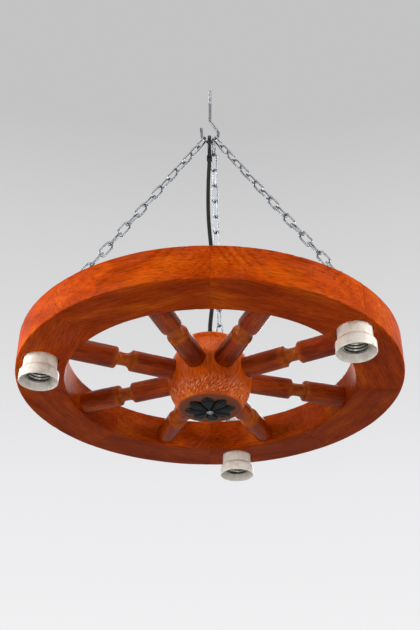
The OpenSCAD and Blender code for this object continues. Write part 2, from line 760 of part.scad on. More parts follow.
module hub() {
    color(oak_outside)
        difference() {
            hub_blank(0);
            for (phi = spoke_angles)
                along_spoke(phi)
                    translate([0, 0, hub_tenon_end - hole_depth_extra])
                        cylinder(h = hub_belly_d, r = tenon_d / 2 + wood_fit, $fn = round_fn);
            translate([0, 0, wheel_z + cavity_floor])
                cylinder(h = hub_up, r = cavity_d / 2, $fn = round_fn);
            translate([0, 0, wheel_z + hub_up - cap_t])
                cylinder(h = hub_up, r = cap_d / 2 + wood_fit, $fn = round_fn);
            for (side = [-cable_step, 0, cable_step])
                at_angle(cable_exit)
                    translate([side, 0, cable_exit_z])
                        rotate([-90, 0, 0])
                            cylinder(h = hub_belly_d, r = cable_d / 2 + cord_fit, $fn = round_fn);
            translate([0, 0, wheel_z - hub_down - 1])
                cylinder(h = rosette_screw_l + 1 + hole_depth_extra, r = rosette_screw_d / 2 + wood_fit,
                         $fn = wire_fn);
        }
}

module hub_cap() {
    color(oak_spoke)
        translate([0, 0, wheel_z + hub_up - cap_t + face_gap])
            difference() {
                cylinder(h = cap_t - face_gap, r = cap_d / 2, $fn = round_fn);
                translate([0, 0, -1])
                    cylinder(h = cap_t + 2, r = cord_d / 2 + relief_wall + cord_fit, $fn = round_fn);
            }
}

// ---- Rosette ----

petal_half = 180 / petals;
petal_shoulder_at = 0.64 * rosette_d / 2;
petal_shoulder = petal_shoulder_at * tan(petal_half) - petal_gap / 2 / cos(petal_half);
petal_rise = rosette_d / 2 - petal_shoulder_at;
petal_arc_r = (petal_shoulder * petal_shoulder + petal_rise * petal_rise) / (2 * petal_shoulder);
petal_arc = asin(petal_rise / petal_arc_r);
rosette_plate_r = 0.8 * petal_shoulder_at;
rosette_screw_d = 3.5;
head_dome_r = 0.61 * rosette_head_d;
head_dome_up = 0.35 * rosette_head_d;      // the dome's centre above the head's seat
driver_slot = [1, 1.2];                    // its width, and the thickness of the head left above it

// One petal, pointed at its tip like a gothic arch
module petal_outline() {
    arch = [for (i = [0 : 5]) let (a = petal_arc * i / 5)
        [petal_shoulder - petal_arc_r * (1 - cos(a)), petal_shoulder_at + petal_arc_r * sin(a)]];
    polygon(concat([[0, 0]], arch, [for (i = [4 : -1 : 0]) [-arch[i].x, arch[i].y]]));
}

module rosette() {
    color(black_paint)
        translate([0, 0, wheel_z - hub_down])
            difference() {
                union() {
                    translate([0, 0, -rosette_t])
                        linear_extrude(rosette_t - face_gap)
                            for (k = [0 : petals - 1])
                                rotate(k * 360 / petals)
                                    petal_outline();
                    translate([0, 0, -rosette_plate_t])
                        cylinder(h = rosette_plate_t - face_gap, r = rosette_plate_r,
                                 $fn = round_fn);
                }
                translate([0, 0, -rosette_t - 1])
                    cylinder(h = rosette_t + 2, r = rosette_screw_d / 2 + wood_fit, $fn = wire_fn);
            }
}

module rosette_screw() {
    head_z = -hub_down - rosette_t - face_gap;
    color(zinc)
        translate([0, 0, wheel_z])
            difference() {
                union() {
                    intersection() {
                        translate([0, 0, head_z + head_dome_up])
                            sphere(r = head_dome_r, $fn = round_fn);
                        translate([0, 0, head_z - rosette_head_d])
                            cylinder(h = rosette_head_d, r = rosette_head_d / 2, $fn = round_fn);
                    }
                    translate([0, 0, head_z])
                        cylinder(h = rosette_screw_l - rosette_t, r = rosette_screw_d / 2, $fn = wire_fn);
                }
                translate([-rosette_head_d, -driver_slot.x / 2, head_z - rosette_head_d])
                    cube([2 * rosette_head_d, driver_slot.x, rosette_head_d - driver_slot.y]);
            }
}

// ---- Lampholders ----

module lampholder_base(i) {
    color(porcelain)
        at_lamp(i)
            difference() {
                union() {
                    translate([0, 0, tier_bottom])
                        cylinder(h = base_top - tier_bottom, r = tier_d / 2, $fn = round_fn);
                    translate([0, 0, spigot_end])
                        cylinder(h = base_top - spigot_end, r = spigot_d / 2, $fn = round_fn);
                }
                translate([0, 0, spigot_end - 1])
                    cylinder(h = bore_floor - spigot_end + 1 + face_gap, r = shell_r + face_gap,
                             $fn = round_fn);
                translate([0, 0, bore_floor - 1])
                    cylinder(h = contact_travel + 2, r = contact_d / 2 + slide_fit, $fn = round_fn);
                translate([0, 0, bore_floor])
                    cylinder(h = stem_l - contact_reach + contact_travel + 1,
                             r = contact_stem_d / 2 + slide_fit, $fn = wire_fn);
                for (side = [-1, 1])
                    translate([0, side * holder_screw_at, 0]) {
                        translate([0, 0, bore_floor])
                            cylinder(h = 2 * rim_h, r = holder_screw_d / 2 + wood_fit, $fn = wire_fn);
                        translate([0, 0, bore_floor - 1])
                            cylinder(h = holder_seat_h + 1, r = holder_head_d / 2 + wood_fit,
                                     $fn = wire_fn);
                    }
                wire_entries(i, base_top - wire_entry_l, wire_entry_l + 1);
            }
}

module lampholder_skirt(i) {
    skirt_top = tier_bottom - parting_gap;
    flare_bottom = skirt_top - flare_h + parting_gap;
    color(porcelain)
        at_lamp(i)
            rotate_extrude($fn = round_fn)
                polygon([
                    [spigot_d / 2 + face_gap, skirt_top],
                    [tier_d / 2, skirt_top],
                    [skirt_d / 2, flare_bottom],
                    [skirt_d / 2, mouth_z + lip_edge],
                    [skirt_d / 2 - lip_edge, mouth_z],
                    [skirt_d / 2 - lip_t, mouth_z],
                    [skirt_inner_r, flange_z - face_gap],
                    [skirt_inner_r, spigot_end - face_gap],
                    [spigot_d / 2 + face_gap, spigot_end - face_gap]
                ]);
}

// The lamp's screw thread is cut in this shell; its bore is plain here
module thread_shell(i) {
    color(nickel)
        at_lamp(i)
            difference() {
                union() {
                    translate([0, 0, flange_z])
                        cylinder(h = shell_l, r = shell_r, $fn = round_fn);
                    translate([0, 0, flange_z])
                        cylinder(h = shell_t, r = flange_d / 2, $fn = round_fn);
                }
                translate([0, 0, flange_z - 1])
                    cylinder(h = shell_l + 2, r = shell_bore_d / 2, $fn = round_fn);
            }
}

module centre_contact(i) {
    color(brass)
        at_lamp(i)
            translate([0, 0, bore_floor - contact_reach]) {
                cylinder(h = contact_t, r = contact_d / 2, $fn = round_fn);
                cylinder(h = stem_l, r = contact_stem_d / 2, $fn = wire_fn);
            }
}

module holder_screws() {
    head_z = bore_floor + holder_seat_h - holder_head_h;
    color(zinc)
        for (i = [0 : 2], side = [-1, 1])
            at_lamp(i)
                translate([0, side * holder_screw_at, 0]) {
                    translate([0, 0, head_z])
                        cylinder(h = holder_head_h - face_gap, r = holder_head_d / 2, $fn = wire_fn);
                    translate([0, 0, head_z])
                        cylinder(h = recess_top + holder_bite - head_z, r = holder_screw_d / 2,
                                 $fn = wire_fn);
                }
}

// ---- Wiring ----

module cord_grommet() {
    r = cord_d / 2;
    wall_r = r + relief_wall;
    under_cap = hub_up - cap_t;
    color(black_rubber)
        translate([0, 0, wheel_z])
            rotate_extrude($fn = round_fn)
                polygon([
                    [0, cavity_floor + junction_h + face_gap],
                    [r, cavity_floor + junction_h + face_gap],
                    [r, under_cap - relief_foot.y],
                    [wall_r + relief_foot.x, under_cap - relief_foot.y],
                    [wall_r + relief_foot.x, under_cap - face_gap],
                    [wall_r, under_cap - face_gap],
                    [wall_r, hub_up + face_gap],
                    [wall_r + relief_collar.x, hub_up + face_gap],
                    [wall_r + relief_collar.x, hub_up + relief_collar.y],
                    [wall_r, hub_up + relief_collar.y + relief_collar.x],
                    [r + relief_tip_wall, relief_top],
                    [0, relief_top]
                ]);
}

module supply_cord() {
    color(black_rubber)
        tube(smooth(cord_route, 2), cord_d / 2, 10, [1, 0, 0]);
}

module tie_shape(r) {
    translate([-r, -tie_spread / 2])
        square([2 * r, tie_spread]);
    for (side = [-1, 1])
        translate([0, side * tie_spread / 2])
            circle(r = r, $fn = wire_fn);
}

module cord_tie() {
    inner_r = cord_d / 2 + cord_fit;
    outer_r = inner_r + tie_wall;
    color(black_rubber)
        translate([tie_at, 0, tie_z]) {
            difference() {
                linear_extrude(tie_h)
                    tie_shape(outer_r);
                translate([0, 0, -1])
                    linear_extrude(tie_h + 2)
                        tie_shape(inner_r);
            }
            translate([-tie_lock.x / 2, tie_spread / 2 + outer_r - 0.6, (tie_h - tie_lock.z) / 2])
                cube(tie_lock);
        }
}

module cord_cores() {
    end = cord_route[len(cord_route) - 1];
    core_colours = [brown_pvc, "#2A4FA0", "#7A8A2A"];
    core_ends = [[-1.1, 0.9, -26], [0.9, 2.6, -24], [0.2, -0.9, -28]];
    for (k = [0 : 2])
        color(core_colours[k])
            tube(smooth([
                end + [cos(120 * k) * 1.2, sin(120 * k) * 1.2, -face_gap],
                end + [cos(120 * k) * 1.3, sin(120 * k) * 1.3, -8],
                end + [cos(120 * k) * 1.3, sin(120 * k) * 1.3, -16] + core_ends[k] * 0.2,
                end + [cos(120 * k) * 1.3, sin(120 * k) * 1.3, 0] + core_ends[k]
            ], 2), core_d / 2, 8, [1, 0, 0]);
}

module junction_block() {
    holes = 6;
    hole_r = 1.8;
    hole_depth = 6;
    color(white_plastic)
        translate([0, 0, wheel_z + cavity_floor])
            difference() {
                cylinder(h = junction_h, r = junction_d / 2, $fn = round_fn);
                for (k = [0 : holes - 1])
                    rotate(360 * k / holes)
                        translate([0, junction_d / 2 - 2 * hole_r, junction_h - hole_depth])
                            cylinder(h = hole_depth + 1, r = hole_r, $fn = wire_fn);
            }
}

// Two poles side by side, each with two screw towers, wires along X
module terminal_block() {
    tower_r = block_w / 4 - 0.3;
    tower_wall = 0.9;
    screw_sink = 3;
    body_h = 0.55 * block_h;
    color(white_plastic)
        at_lamp(2)
            translate([block_at.x, block_at.y, rim_h / 2 + face_gap])
                difference() {
                    union() {
                        translate([-block_l / 2, -block_w / 2, 0])
                            cube([block_l, block_w, body_h]);
                        for (x = [-1, 1], y = [-1, 1])
                            translate([x * block_l / 4, y * pole_pitch / 2, 0])
                                cylinder(h = block_h, r = tower_r, $fn = wire_fn);
                    }
                    for (y = [-1, 1]) {
                        translate([-block_l, y * pole_pitch / 2, block_cable_z - rim_h / 2 - face_gap])
                            rotate([0, 90, 0])
                                cylinder(h = 2 * block_l, r = core_d / 2 + cord_fit, $fn = wire_fn);
                        for (x = [-1, 1])
                            translate([x * block_l / 4, y * pole_pitch / 2, block_h - screw_sink])
                                cylinder(h = screw_sink + 1, r = tower_r - tower_wall, $fn = wire_fn);
                    }
                }
}

// Two black leads from the terminal block down to the rear lampholder
module terminal_leads() {
    bend = 3.5;
    color(black_rubber)
        at_lamp(2)
            for (p = rear_lead_at) {
                translate([0, p.y, 0]) {
                    rod([1, 0, block_cable_z], [p.x - bend, 0, block_cable_z], core_d / 2);
                    translate([p.x - bend, 0, block_cable_z - bend])
                        rotate([90, 0, 0])
                            ring_part(bend, core_d / 2, 0, 90);
                    rod([p.x, 0, base_top - 4.5], [p.x, 0, block_cable_z - bend], core_d / 2);
                }
            }
}

module branch_cable(route) {
    points = [for (p = route) around(p.x, p.y, p.z + wheel_z)];
    color(white_pvc)
        tube(smooth(points, 2), cable_d / 2, 8, [0, 0, 1]);
}

module branch_cable_left() {
    branch_cable(left_route);
}

module branch_cable_right() {
    branch_cable(right_route);
}

// The rear cable ends before the terminal block, and its two cores go on into the poles
module branch_cable_rear() {
    branch_cable(rear_route);
    end = rear_route[len(rear_route) - 1];
    sheath_end = around(end.x, end.y, end.z + wheel_z);
    forward = unit(sheath_end - around(end.x - 1, end.y, end.z + wheel_z));
    mouth_x = block_l / 2;
    lamp_x = [cos(lamp_angles[2]), -sin(lamp_angles[2]), 0];
    lamp_y = [sin(lamp_angles[2]), cos(lamp_angles[2]), 0];
    pole = around(lamp_angles[2], lamp_r, wheel_z + block_cable_z) + block_at.y * lamp_y;
    color(black_rubber)
        for (side = [-1, 1])
            tube(smooth([
                sheath_end + 0.3 * forward + side * 0.95 * lamp_y,
                sheath_end + 1.4 * forward + side * 1.2 * lamp_y,
                pole - (mouth_x + 0.6) * lamp_x + side * (pole_pitch / 2 - 0.05) * lamp_y,
                pole - (mouth_x - 4) * lamp_x + side * pole_pitch / 2 * lamp_y
            ], 2), core_d / 2, 8, [0, 0, 1]);
}

// Saddles that hold the cables on top of the rim
module cable_clips() {
    seat = rim_h / 2 + face_gap;
    color(white_plastic)
        for (phi = clip_angles)
            at_angle(phi)
                translate([-clip_l / 2, cable_r, 0])
                    difference() {
                        union() {
                            translate([0, 0, top_z])
                                rotate([0, 90, 0])
                                    cylinder(h = clip_l, r = cable_d / 2 + clip_wall, $fn = wire_fn);
                            translate([0, -clip_foot.x / 2, seat])
                                cube([clip_l, clip_foot.x, clip_foot.y]);
                        }
                        translate([-1, 0, top_z])
                            rotate([0, 90, 0])
                                cylinder(h = clip_l + 2, r = cable_d / 2 + cord_fit, $fn = wire_fn);
                        translate([-1, -clip_foot.x, seat - rim_h])
                            cube([clip_l + 2, 2 * clip_foot.x, rim_h]);
                    }
}

ceiling_hook();
hook_sleeve();
chain_left();
chain_right();
chain_rear();
screw_eyes();
felloe(0);  // felloe_1
felloe(1);  // felloe_2
felloe(2);  // felloe_3
felloe(3);  // felloe_4
felloe(4);  // felloe_5
felloe(5);  // felloe_6
felloe(6);  // felloe_7
felloe(7);  // felloe_8
felloe_dowels();
spoke(0);  // spoke_1
spoke(1);  // spoke_2
spoke(2);  // spoke_3
spoke(3);  // spoke_4
spoke(4);  // spoke_5
spoke(5);  // spoke_6
spoke(6);  // spoke_7
spoke(7);  // spoke_8
hub();
hub_cap();
rosette();
rosette_screw();
lampholder_base(0);  // lampholder_base_left
lampholder_base(1);  // lampholder_base_right
lampholder_base(2);  // lampholder_base_rear
lampholder_skirt(0);  // lampholder_skirt_left
lampholder_skirt(1);  // lampholder_skirt_right
lampholder_skirt(2);  // lampholder_skirt_rear
thread_shell(0);  // thread_shell_left
thread_shell(1);  // thread_shell_right
thread_shell(2);  // thread_shell_rear
centre_contact(0);  // centre_contact_left
centre_contact(1);  // centre_contact_right
centre_contact(2);  // centre_contact_rear
holder_screws();
junction_block();
terminal_block();
terminal_leads();
branch_cable_left();
branch_cable_right();
branch_cable_rear();
cable_clips();
cord_grommet();
supply_cord();
cord_tie();
cord_cores();
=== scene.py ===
import math
import random

import bmesh
import bpy
import numpy as np
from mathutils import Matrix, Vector, noise


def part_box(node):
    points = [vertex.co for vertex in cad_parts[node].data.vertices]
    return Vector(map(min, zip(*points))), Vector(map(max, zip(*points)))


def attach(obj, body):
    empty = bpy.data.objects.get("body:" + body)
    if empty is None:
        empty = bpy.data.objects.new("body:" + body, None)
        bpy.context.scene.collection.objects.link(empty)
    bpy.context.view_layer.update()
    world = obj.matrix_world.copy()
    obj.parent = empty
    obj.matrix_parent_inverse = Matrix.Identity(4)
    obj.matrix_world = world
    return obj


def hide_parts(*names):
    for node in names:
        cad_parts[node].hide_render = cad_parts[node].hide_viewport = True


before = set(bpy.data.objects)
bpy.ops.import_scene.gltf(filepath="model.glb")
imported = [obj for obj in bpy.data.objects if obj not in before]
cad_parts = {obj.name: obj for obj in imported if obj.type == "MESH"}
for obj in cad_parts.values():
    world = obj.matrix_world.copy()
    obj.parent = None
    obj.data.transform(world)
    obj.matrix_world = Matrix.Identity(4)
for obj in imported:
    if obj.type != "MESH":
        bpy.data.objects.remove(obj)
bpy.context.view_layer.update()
mm = 0.001
lampNames = ["left", "right", "rear"]


# Small helpers

def hexColour(code):  # sRGB hex to linear, with alpha 1
    channels = [int(code[i:i + 2], 16) / 255 for i in (1, 3, 5)]
    linear = [c / 12.92 if c <= 0.04045 else ((c + 0.055) / 1.055) ** 2.4 for c in channels]
    return (*linear, 1.0)


def colourOf(tone):  # a hex code, a grey or a linear colour, always given back as the last
    if isinstance(tone, str):
        return hexColour(tone)
    return tone if isinstance(tone, tuple) else (tone, tone, tone, 1)


def addNode(tree, kind, links=None, values=None, **settings):
    node = tree.nodes.new(kind)
    for key, value in settings.items():
        setattr(node, key, value)
    for key, value in (values or {}).items():
        node.inputs[key].default_value = value
    for key, source in (links or {}).items():
        tree.links.new(source, node.inputs[key])
    return node


def newMaterial(name, **shader):
    material = bpy.data.materials.new(name)
    material.use_nodes = True
    tree = material.node_tree
    surface = tree.nodes["Principled BSDF"]
    for key, value in shader.items():
        surface.inputs[key.replace("_", " ")].default_value = value
    return material, tree, surface


def putInScene(name, data):
    thing = bpy.data.objects.new(name, data)
    bpy.context.scene.collection.objects.link(thing)
    return thing


def makeMesh(name, points, faces, material, body, replaced=(), smooth=True):
    mesh = bpy.data.meshes.new(name)
    mesh.from_pydata([tuple(p) for p in points], [], faces)
    mesh.update()
    mesh.materials.append(material)
    if smooth:
        mesh.shade_smooth()
    piece = putInScene(name, mesh)
    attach(piece, body)
    if replaced:
        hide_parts(*replaced)
    return piece


def recalcNormals(piece):
    work = bmesh.new()
    work.from_mesh(piece.data)
    bmesh.ops.recalc_face_normals(work, faces=work.faces)
    work.to_mesh(piece.data)
    work.free()


def sharpen(piece, degrees):  # keeps crisp edges crisp on a smooth-shaded mesh
    work = bmesh.new()
    work.from_mesh(piece.data)
    for edge in work.edges:
        if len(edge.link_faces) == 2 and edge.calc_face_angle(0) > math.radians(degrees):
            edge.smooth = False
    work.to_mesh(piece.data)
    work.free()


def finishFaces(piece, degrees):
    recalcNormals(piece)
    sharpen(piece, degrees)


def gridFaces(rows, columns, closedColumns=True, closedRows=False):
    faces = []
    for i in range(rows if closedRows else rows - 1):
        here, there = i * columns, (i + 1) % rows * columns
        for j in range(columns if closedColumns else columns - 1):
            beside = (j + 1) % columns
            faces.append((here + j, here + beside, there + beside, there + j))
    return faces


def lathePoints(profile, segments, shape=None):
    points = []
    for r, z in profile:
        for k in range(segments):
            a = 2 * math.pi * k / segments
            rr, zz = shape(r, z, a) if shape else (r, z)
            points.append(Vector((rr * math.cos(a), rr * math.sin(a), zz)))
    return points


def latheFaces(rows, segments, closedProfile=False):
    faces = gridFaces(rows, segments, True, closedProfile)
    if not closedProfile:
        faces.append(tuple(range(segments))[::-1])
        faces.append(tuple(range((rows - 1) * segments, rows * segments)))
    return faces


def arcPoints(centre, radius, start, end, steps):  # degrees
    return [(centre[0] + radius * math.cos(math.radians(start + (end - start) * i / steps)),
             centre[1] + radius * math.sin(math.radians(start + (end - start) * i / steps)))
            for i in range(steps + 1)]


def tubePoints(path, radius, sides, closed=False):
    count = len(path)
    tangents = []
    for i in range(count):
        before = path[(i - 1) % count] if closed else path[max(i - 1, 0)]
        after = path[(i + 1) % count] if closed else path[min(i + 1, count - 1)]
        tangents.append((after - before).normalized())
    normal = tangents[0].orthogonal().normalized()
    points = []
    for i, (p, t) in enumerate(zip(path, tangents)):
        normal = (normal - t * normal.dot(t)).normalized()
        side = t.cross(normal)
        r = radius(i) if callable(radius) else radius
        for k in range(sides):
            a = 2 * math.pi * k / sides
            points.append(p + (normal * math.cos(a) + side * math.sin(a)) * r)
    return points


def at(phi, r, z):  # a place round the wheel, phi from +Y towards +X
    a = math.radians(phi)
    return Vector((r * math.sin(a), r * math.cos(a), z))


# Where the frame puts things

rimLow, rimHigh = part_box("felloe_1")
wheelZ = (rimLow.z + rimHigh.z) / 2
rimHalf = (rimHigh.z - rimLow.z) / 2
rimOuter = max(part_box("felloe_%d" % k)[1].x for k in (2, 3))
rimWidth = 56 * mm
rimInner = rimOuter - rimWidth
spokeZ = wheelZ - 4.5 * mm


def spokeAngle(k):  # the way a spoke points, from +Y towards +X
    spots = [v.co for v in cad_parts["spoke_%d" % k].data.vertices]
    far = [p for p in spots if rimInner - 12 * mm < math.hypot(p.x, p.y) < rimInner]
    return math.degrees(math.atan2(sum(p.x for p in far), sum(p.y for p in far)))


lampCentres = {}
for lampName in lampNames:
    low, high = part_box("lampholder_skirt_" + lampName)
    lampCentres[lampName] = Vector(((low.x + high.x) / 2, (low.y + high.y) / 2, wheelZ))
print("frame read: wheel at", round(wheelZ, 4), "outer radius", round(rimOuter, 4))


# Camera

view = {"behind": 0.910, "below": 0.5033, "tilt": 122.78, "lens": 50.1}
eye = bpy.data.cameras.new("eye")
eye.lens = view["lens"]
eye.sensor_width = 36
eye.clip_start = 0.02
eyeObject = putInScene("eye", eye)
eyeObject.location = (0, -view["behind"], wheelZ - view["below"])
eyeObject.rotation_euler = (math.radians(view["tilt"]), 0, 0)
bpy.context.scene.camera = eyeObject


# Materials

def blend(tree, share, first, second, kind="MIX"):  # sockets or colours, mixed by a share
    node = addNode(tree, "ShaderNodeMix", data_type="RGBA", blend_type=kind)
    for key, value in (("Factor", share), ("A", first), ("B", second)):
        if isinstance(value, bpy.types.NodeSocket):
            tree.links.new(value, node.inputs[key])
        else:
            node.inputs[key].default_value = value if key == "Factor" else colourOf(value)
    return node.outputs["Result"]


def grade(tree, value, stops):  # a value turned into a grey or a colour through a ramp
    ramp = addNode(tree, "ShaderNodeValToRGB", {"Fac": value})
    elements = ramp.color_ramp.elements
    while len(elements) < len(stops):
        elements.new(0.5)
    for element, (spot, tone) in zip(elements, stops):
        element.position = spot
        element.color = colourOf(tone)
    return ramp.outputs["Color"]


def grain(tree, board, alongMm, acrossMm, detail, roughness, distortion=0.0):
    # Noise drawn out along the board: its specks are alongMm long and acrossMm wide
    scaled = addNode(tree, "ShaderNodeMapping", {"Vector": board},
                     {"Scale": (1 / (alongMm * mm), 1 / (acrossMm * mm), 1 / (acrossMm * mm))})
    return addNode(tree, "ShaderNodeTexNoise", {"Vector": scaled.outputs[0]},
                   {"Scale": 1.0, "Detail": detail, "Roughness": roughness,
                    "Distortion": distortion}).outputs["Fac"]


# Tones under the stain: plain, warm, light, red, and for the spokes the rubbed one
rimTones = ["#983203", "#B54204", "#CA580E", "#AC421A"]
spokeTones = ["#742405", "#983506", "#B24C0C", "#862E0C", "#C06214"]
hubTones = ["#B64608", "#CE540A", "#E06A16", "#C04A12"]
oakSizes = {"cloud": (70, 26), "red": (50, 34), "fibre": (30, 1.7), "pore": (8, 1.1),
            "ringPatch": (38, 24), "ringSpacing": 2.6, "relief": 0.3}  # mm, along and across


def stainedOak(name, tones, turn=0, seed=0, upright=False, gloss=0.42, sheen=0.025,
               poreShow=0.9):
    # Oak under a thin orange spirit stain and satin varnish: warm and red clouds a hand wide,
    # fine fibres, faint growth lines that come and go, and short dark pores. The fibres are
    # drawn coarser than real ones, so that they show.
    s = oakSizes
    material, tree, surface = newMaterial(name, Roughness=gloss, Specular_IOR_Level=sheen)
    place = addNode(tree, "ShaderNodeTexCoord").outputs["Object"]
    board = addNode(tree, "ShaderNodeMapping", {"Vector": place},
                    {"Rotation": (0, math.radians(90) if upright else 0, math.radians(turn)),
                     "Location": (0.37 * seed, 0.61 * seed, 0.23 * seed)}).outputs[0]
    clouds = grain(tree, board, *s["cloud"], 3.0, 0.6, 0.4)
    fibre = grain(tree, board, *s["fibre"], 4.0, 0.65, 0.2)
    pores = grain(tree, board, *s["pore"], 2.0, 0.5)
    ringMap = addNode(tree, "ShaderNodeMapping", {"Vector": board},
                      {"Location": (0.01 * seed, 0.07, 0.035), "Scale": (0.22, 1, 1)})
    rings = addNode(tree, "ShaderNodeTexWave", {"Vector": ringMap.outputs[0]},
                    {"Scale": 0.314 / (s["ringSpacing"] * mm), "Distortion": 3.0, "Detail": 2.0,
                     "Detail Scale": 0.1, "Detail Roughness": 0.5},
                    wave_type="RINGS", rings_direction="X").outputs["Fac"]
    ringShow = grade(tree, grain(tree, board, *s["ringPatch"], 1.0, 0.5),
                     [(0.44, 0.0), (0.64, 1.0)])
    colour = grade(tree, clouds, [(0.32, tones[0]), (0.52, tones[1]), (0.70, tones[2])])
    redder = grade(tree, grain(tree, board, *s["red"], 2.0, 0.6), [(0.50, 0.0), (0.72, 0.75)])
    colour = blend(tree, redder, colour, tones[3])
    fibreShade = grade(tree, fibre, [(0.34, 0.58), (0.50, 0.97), (0.68, 1.22)])
    colour = blend(tree, 0.9, colour, fibreShade, "MULTIPLY")
    lines = grade(tree, rings, [(0.0, 0.76), (0.5, 1.0)])
    colour = blend(tree, ringShow, colour, blend(tree, 1.0, colour, lines, "MULTIPLY"))
    poreShade = grade(tree, pores, [(0.34, 0.6), (0.44, 1.0)])
    colour = blend(tree, poreShow, colour, poreShade, "MULTIPLY")
    tree.links.new(colour, surface.inputs["Base Color"])
    relief = addNode(tree, "ShaderNodeMath", {0: fibre, 1: pores}, operation="ADD")
    addBump(tree, surface, relief.outputs[0], 0.35, s["relief"])
    return material, tree, surface, colour, place


def addBump(tree, surface, height, strength, depthMm):
    bump = addNode(tree, "ShaderNodeBump", {"Height": height},
                   {"Strength": strength, "Distance": depthMm * mm})
    tree.links.new(bump.outputs[0], surface.inputs["Normal"])


def axisDistance(tree, place):  # how far a point of the wood lies from the wheel's axis
    flat = addNode(tree, "ShaderNodeVectorMath", {0: place}, {1: (1, 1, 0)},
                   operation="MULTIPLY")
    return addNode(tree, "ShaderNodeVectorMath", {0: flat.outputs[0]},
                   operation="LENGTH").outputs["Value"]


def spokeOak(k, neckAt):
    # The stain was rubbed thin on the turned neck and its shoulders, and lies dark elsewhere.
    material, tree, surface, colour, place = stainedOak(
        "spokeOak_%d" % k, spokeTones, turn=spokeAngle(k) - 90, seed=20 + k, gloss=0.26,
        sheen=0.10)
    before, after, fade = spoke["rubbed"]
    low, high = (neckAt - before) * mm, (neckAt + after) * mm
    centred = addNode(tree, "ShaderNodeMapRange", {"Value": axisDistance(tree, place)},
                      {"From Min": low - fade * mm, "From Max": high + fade * mm})
    rubbed = grade(tree, centred.outputs["Result"],
                   [(0.0, 0.0), (0.2, 0.8), (0.8, 0.8), (1.0, 0.0)])
    patchy = grade(tree, grain(tree, place, 7, 7, 3.0, 0.6), [(0.36, 0.35), (0.6, 1.0)])
    share = blend(tree, 1.0, rubbed, patchy, "MULTIPLY")
    colour = blend(tree, share, colour, blend(tree, 0.72, colour, spokeTones[4]))
    tree.links.new(colour, surface.inputs["Base Color"])
    return material


def hubOak():
    # Upright grain with a glue line, torn pale flecks low down, and end grain under it that
    # took the stain dull and brown.
    material, tree, surface, colour, place = stainedOak(
        "hubOak", hubTones, upright=True, seed=41, sheen=0.06, poreShow=0.4)
    parts = addNode(tree, "ShaderNodeSeparateXYZ", {0: place})
    height = addNode(tree, "ShaderNodeMapRange", {"Value": parts.outputs["Z"]},
                     {"From Min": wheelZ - hubShape["down"] * mm,
                      "From Max": wheelZ + hubShape["up"] * mm}).outputs["Result"]
    band = grade(tree, height, [(0.03, 0.0), (0.05, 1.0), (0.17, 1.0), (0.26, 0.0)])
    turnRound = addNode(tree, "ShaderNodeMath", {0: parts.outputs["Y"], 1: parts.outputs["X"]},
                        operation="ARCTAN2")
    girth = addNode(tree, "ShaderNodeMath", {0: turnRound.outputs[0]},
                    {1: hubShape["belly"] * mm}, operation="MULTIPLY")
    unrolled = addNode(tree, "ShaderNodeCombineXYZ",
                       {0: girth.outputs[0], 1: parts.outputs["Z"]})
    slanted = addNode(tree, "ShaderNodeMapping", {"Vector": unrolled.outputs[0]},
                      {"Rotation": (0, 0, math.radians(hubShape["slant"]))}).outputs[0]
    flecks = grade(tree, grain(tree, slanted, *hubShape["fleck"], 2.0, 0.6),
                   [(0.52, 0.0), (0.60, 0.9)])
    pits = grade(tree, grain(tree, slanted, *hubShape["pit"], 2.0, 0.6, 0.3),
                 [(0.38, 0.9), (0.46, 0.0)])
    colour = blend(tree, blend(tree, 1.0, band, flecks, "MULTIPLY"), colour, "#E89468")
    colour = blend(tree, blend(tree, 1.0, band, pits, "MULTIPLY"), colour, "#74300C")
    # The glue line between the hub's two halves
    halfSeam = hubShape["seam"] / 2 * mm
    seam = addNode(tree, "ShaderNodeMath", {0: parts.outputs["X"]}, {1: halfSeam, 2: halfSeam},
                   operation="COMPARE")
    seamShow = blend(tree, 1.0, seam.outputs[0], 0.3, "MULTIPLY")
    colour = blend(tree, seamShow, colour, "#4A1C08")
    bottom = grade(tree, height, [(0.004, 1.0), (0.012, 0.0)])
    endGrain = blend(tree, grain(tree, place, 9, 3, 3.0, 0.6), "#7C4028", "#965A44")
    tree.links.new(blend(tree, bottom, colour, endGrain), surface.inputs["Base Color"])
    tree.links.new(blend(tree, bottom, 0.36, 0.7), surface.inputs["Roughness"])
    return material


def plainMaterial(name, colour, roughness, speckMm, depth, shadeTo=None, **shader):
    # A plain finish whose colour and gloss vary a little at the size given in millimetres.
    material, tree, surface = newMaterial(name, Roughness=roughness, **shader)
    coords = addNode(tree, "ShaderNodeTexCoord")
    specks = addNode(tree, "ShaderNodeTexNoise", {"Vector": coords.outputs["Object"]},
                     {"Scale": 1 / (speckMm * mm), "Detail": 4.0, "Roughness": 0.6})
    specks = specks.outputs["Fac"]
    tree.links.new(grade(tree, specks, [(0.35, shadeTo or colour), (0.62, colour)]),
                   surface.inputs["Base Color"])
    spread = addNode(tree, "ShaderNodeMapRange", {"Value": specks},
                     {"From Min": 0.3, "From Max": 0.7, "To Min": roughness * 0.8,
                      "To Max": roughness * 1.25})
    tree.links.new(spread.outputs["Result"], surface.inputs["Roughness"])
    addBump(tree, surface, specks, 0.3, depth)
    return material


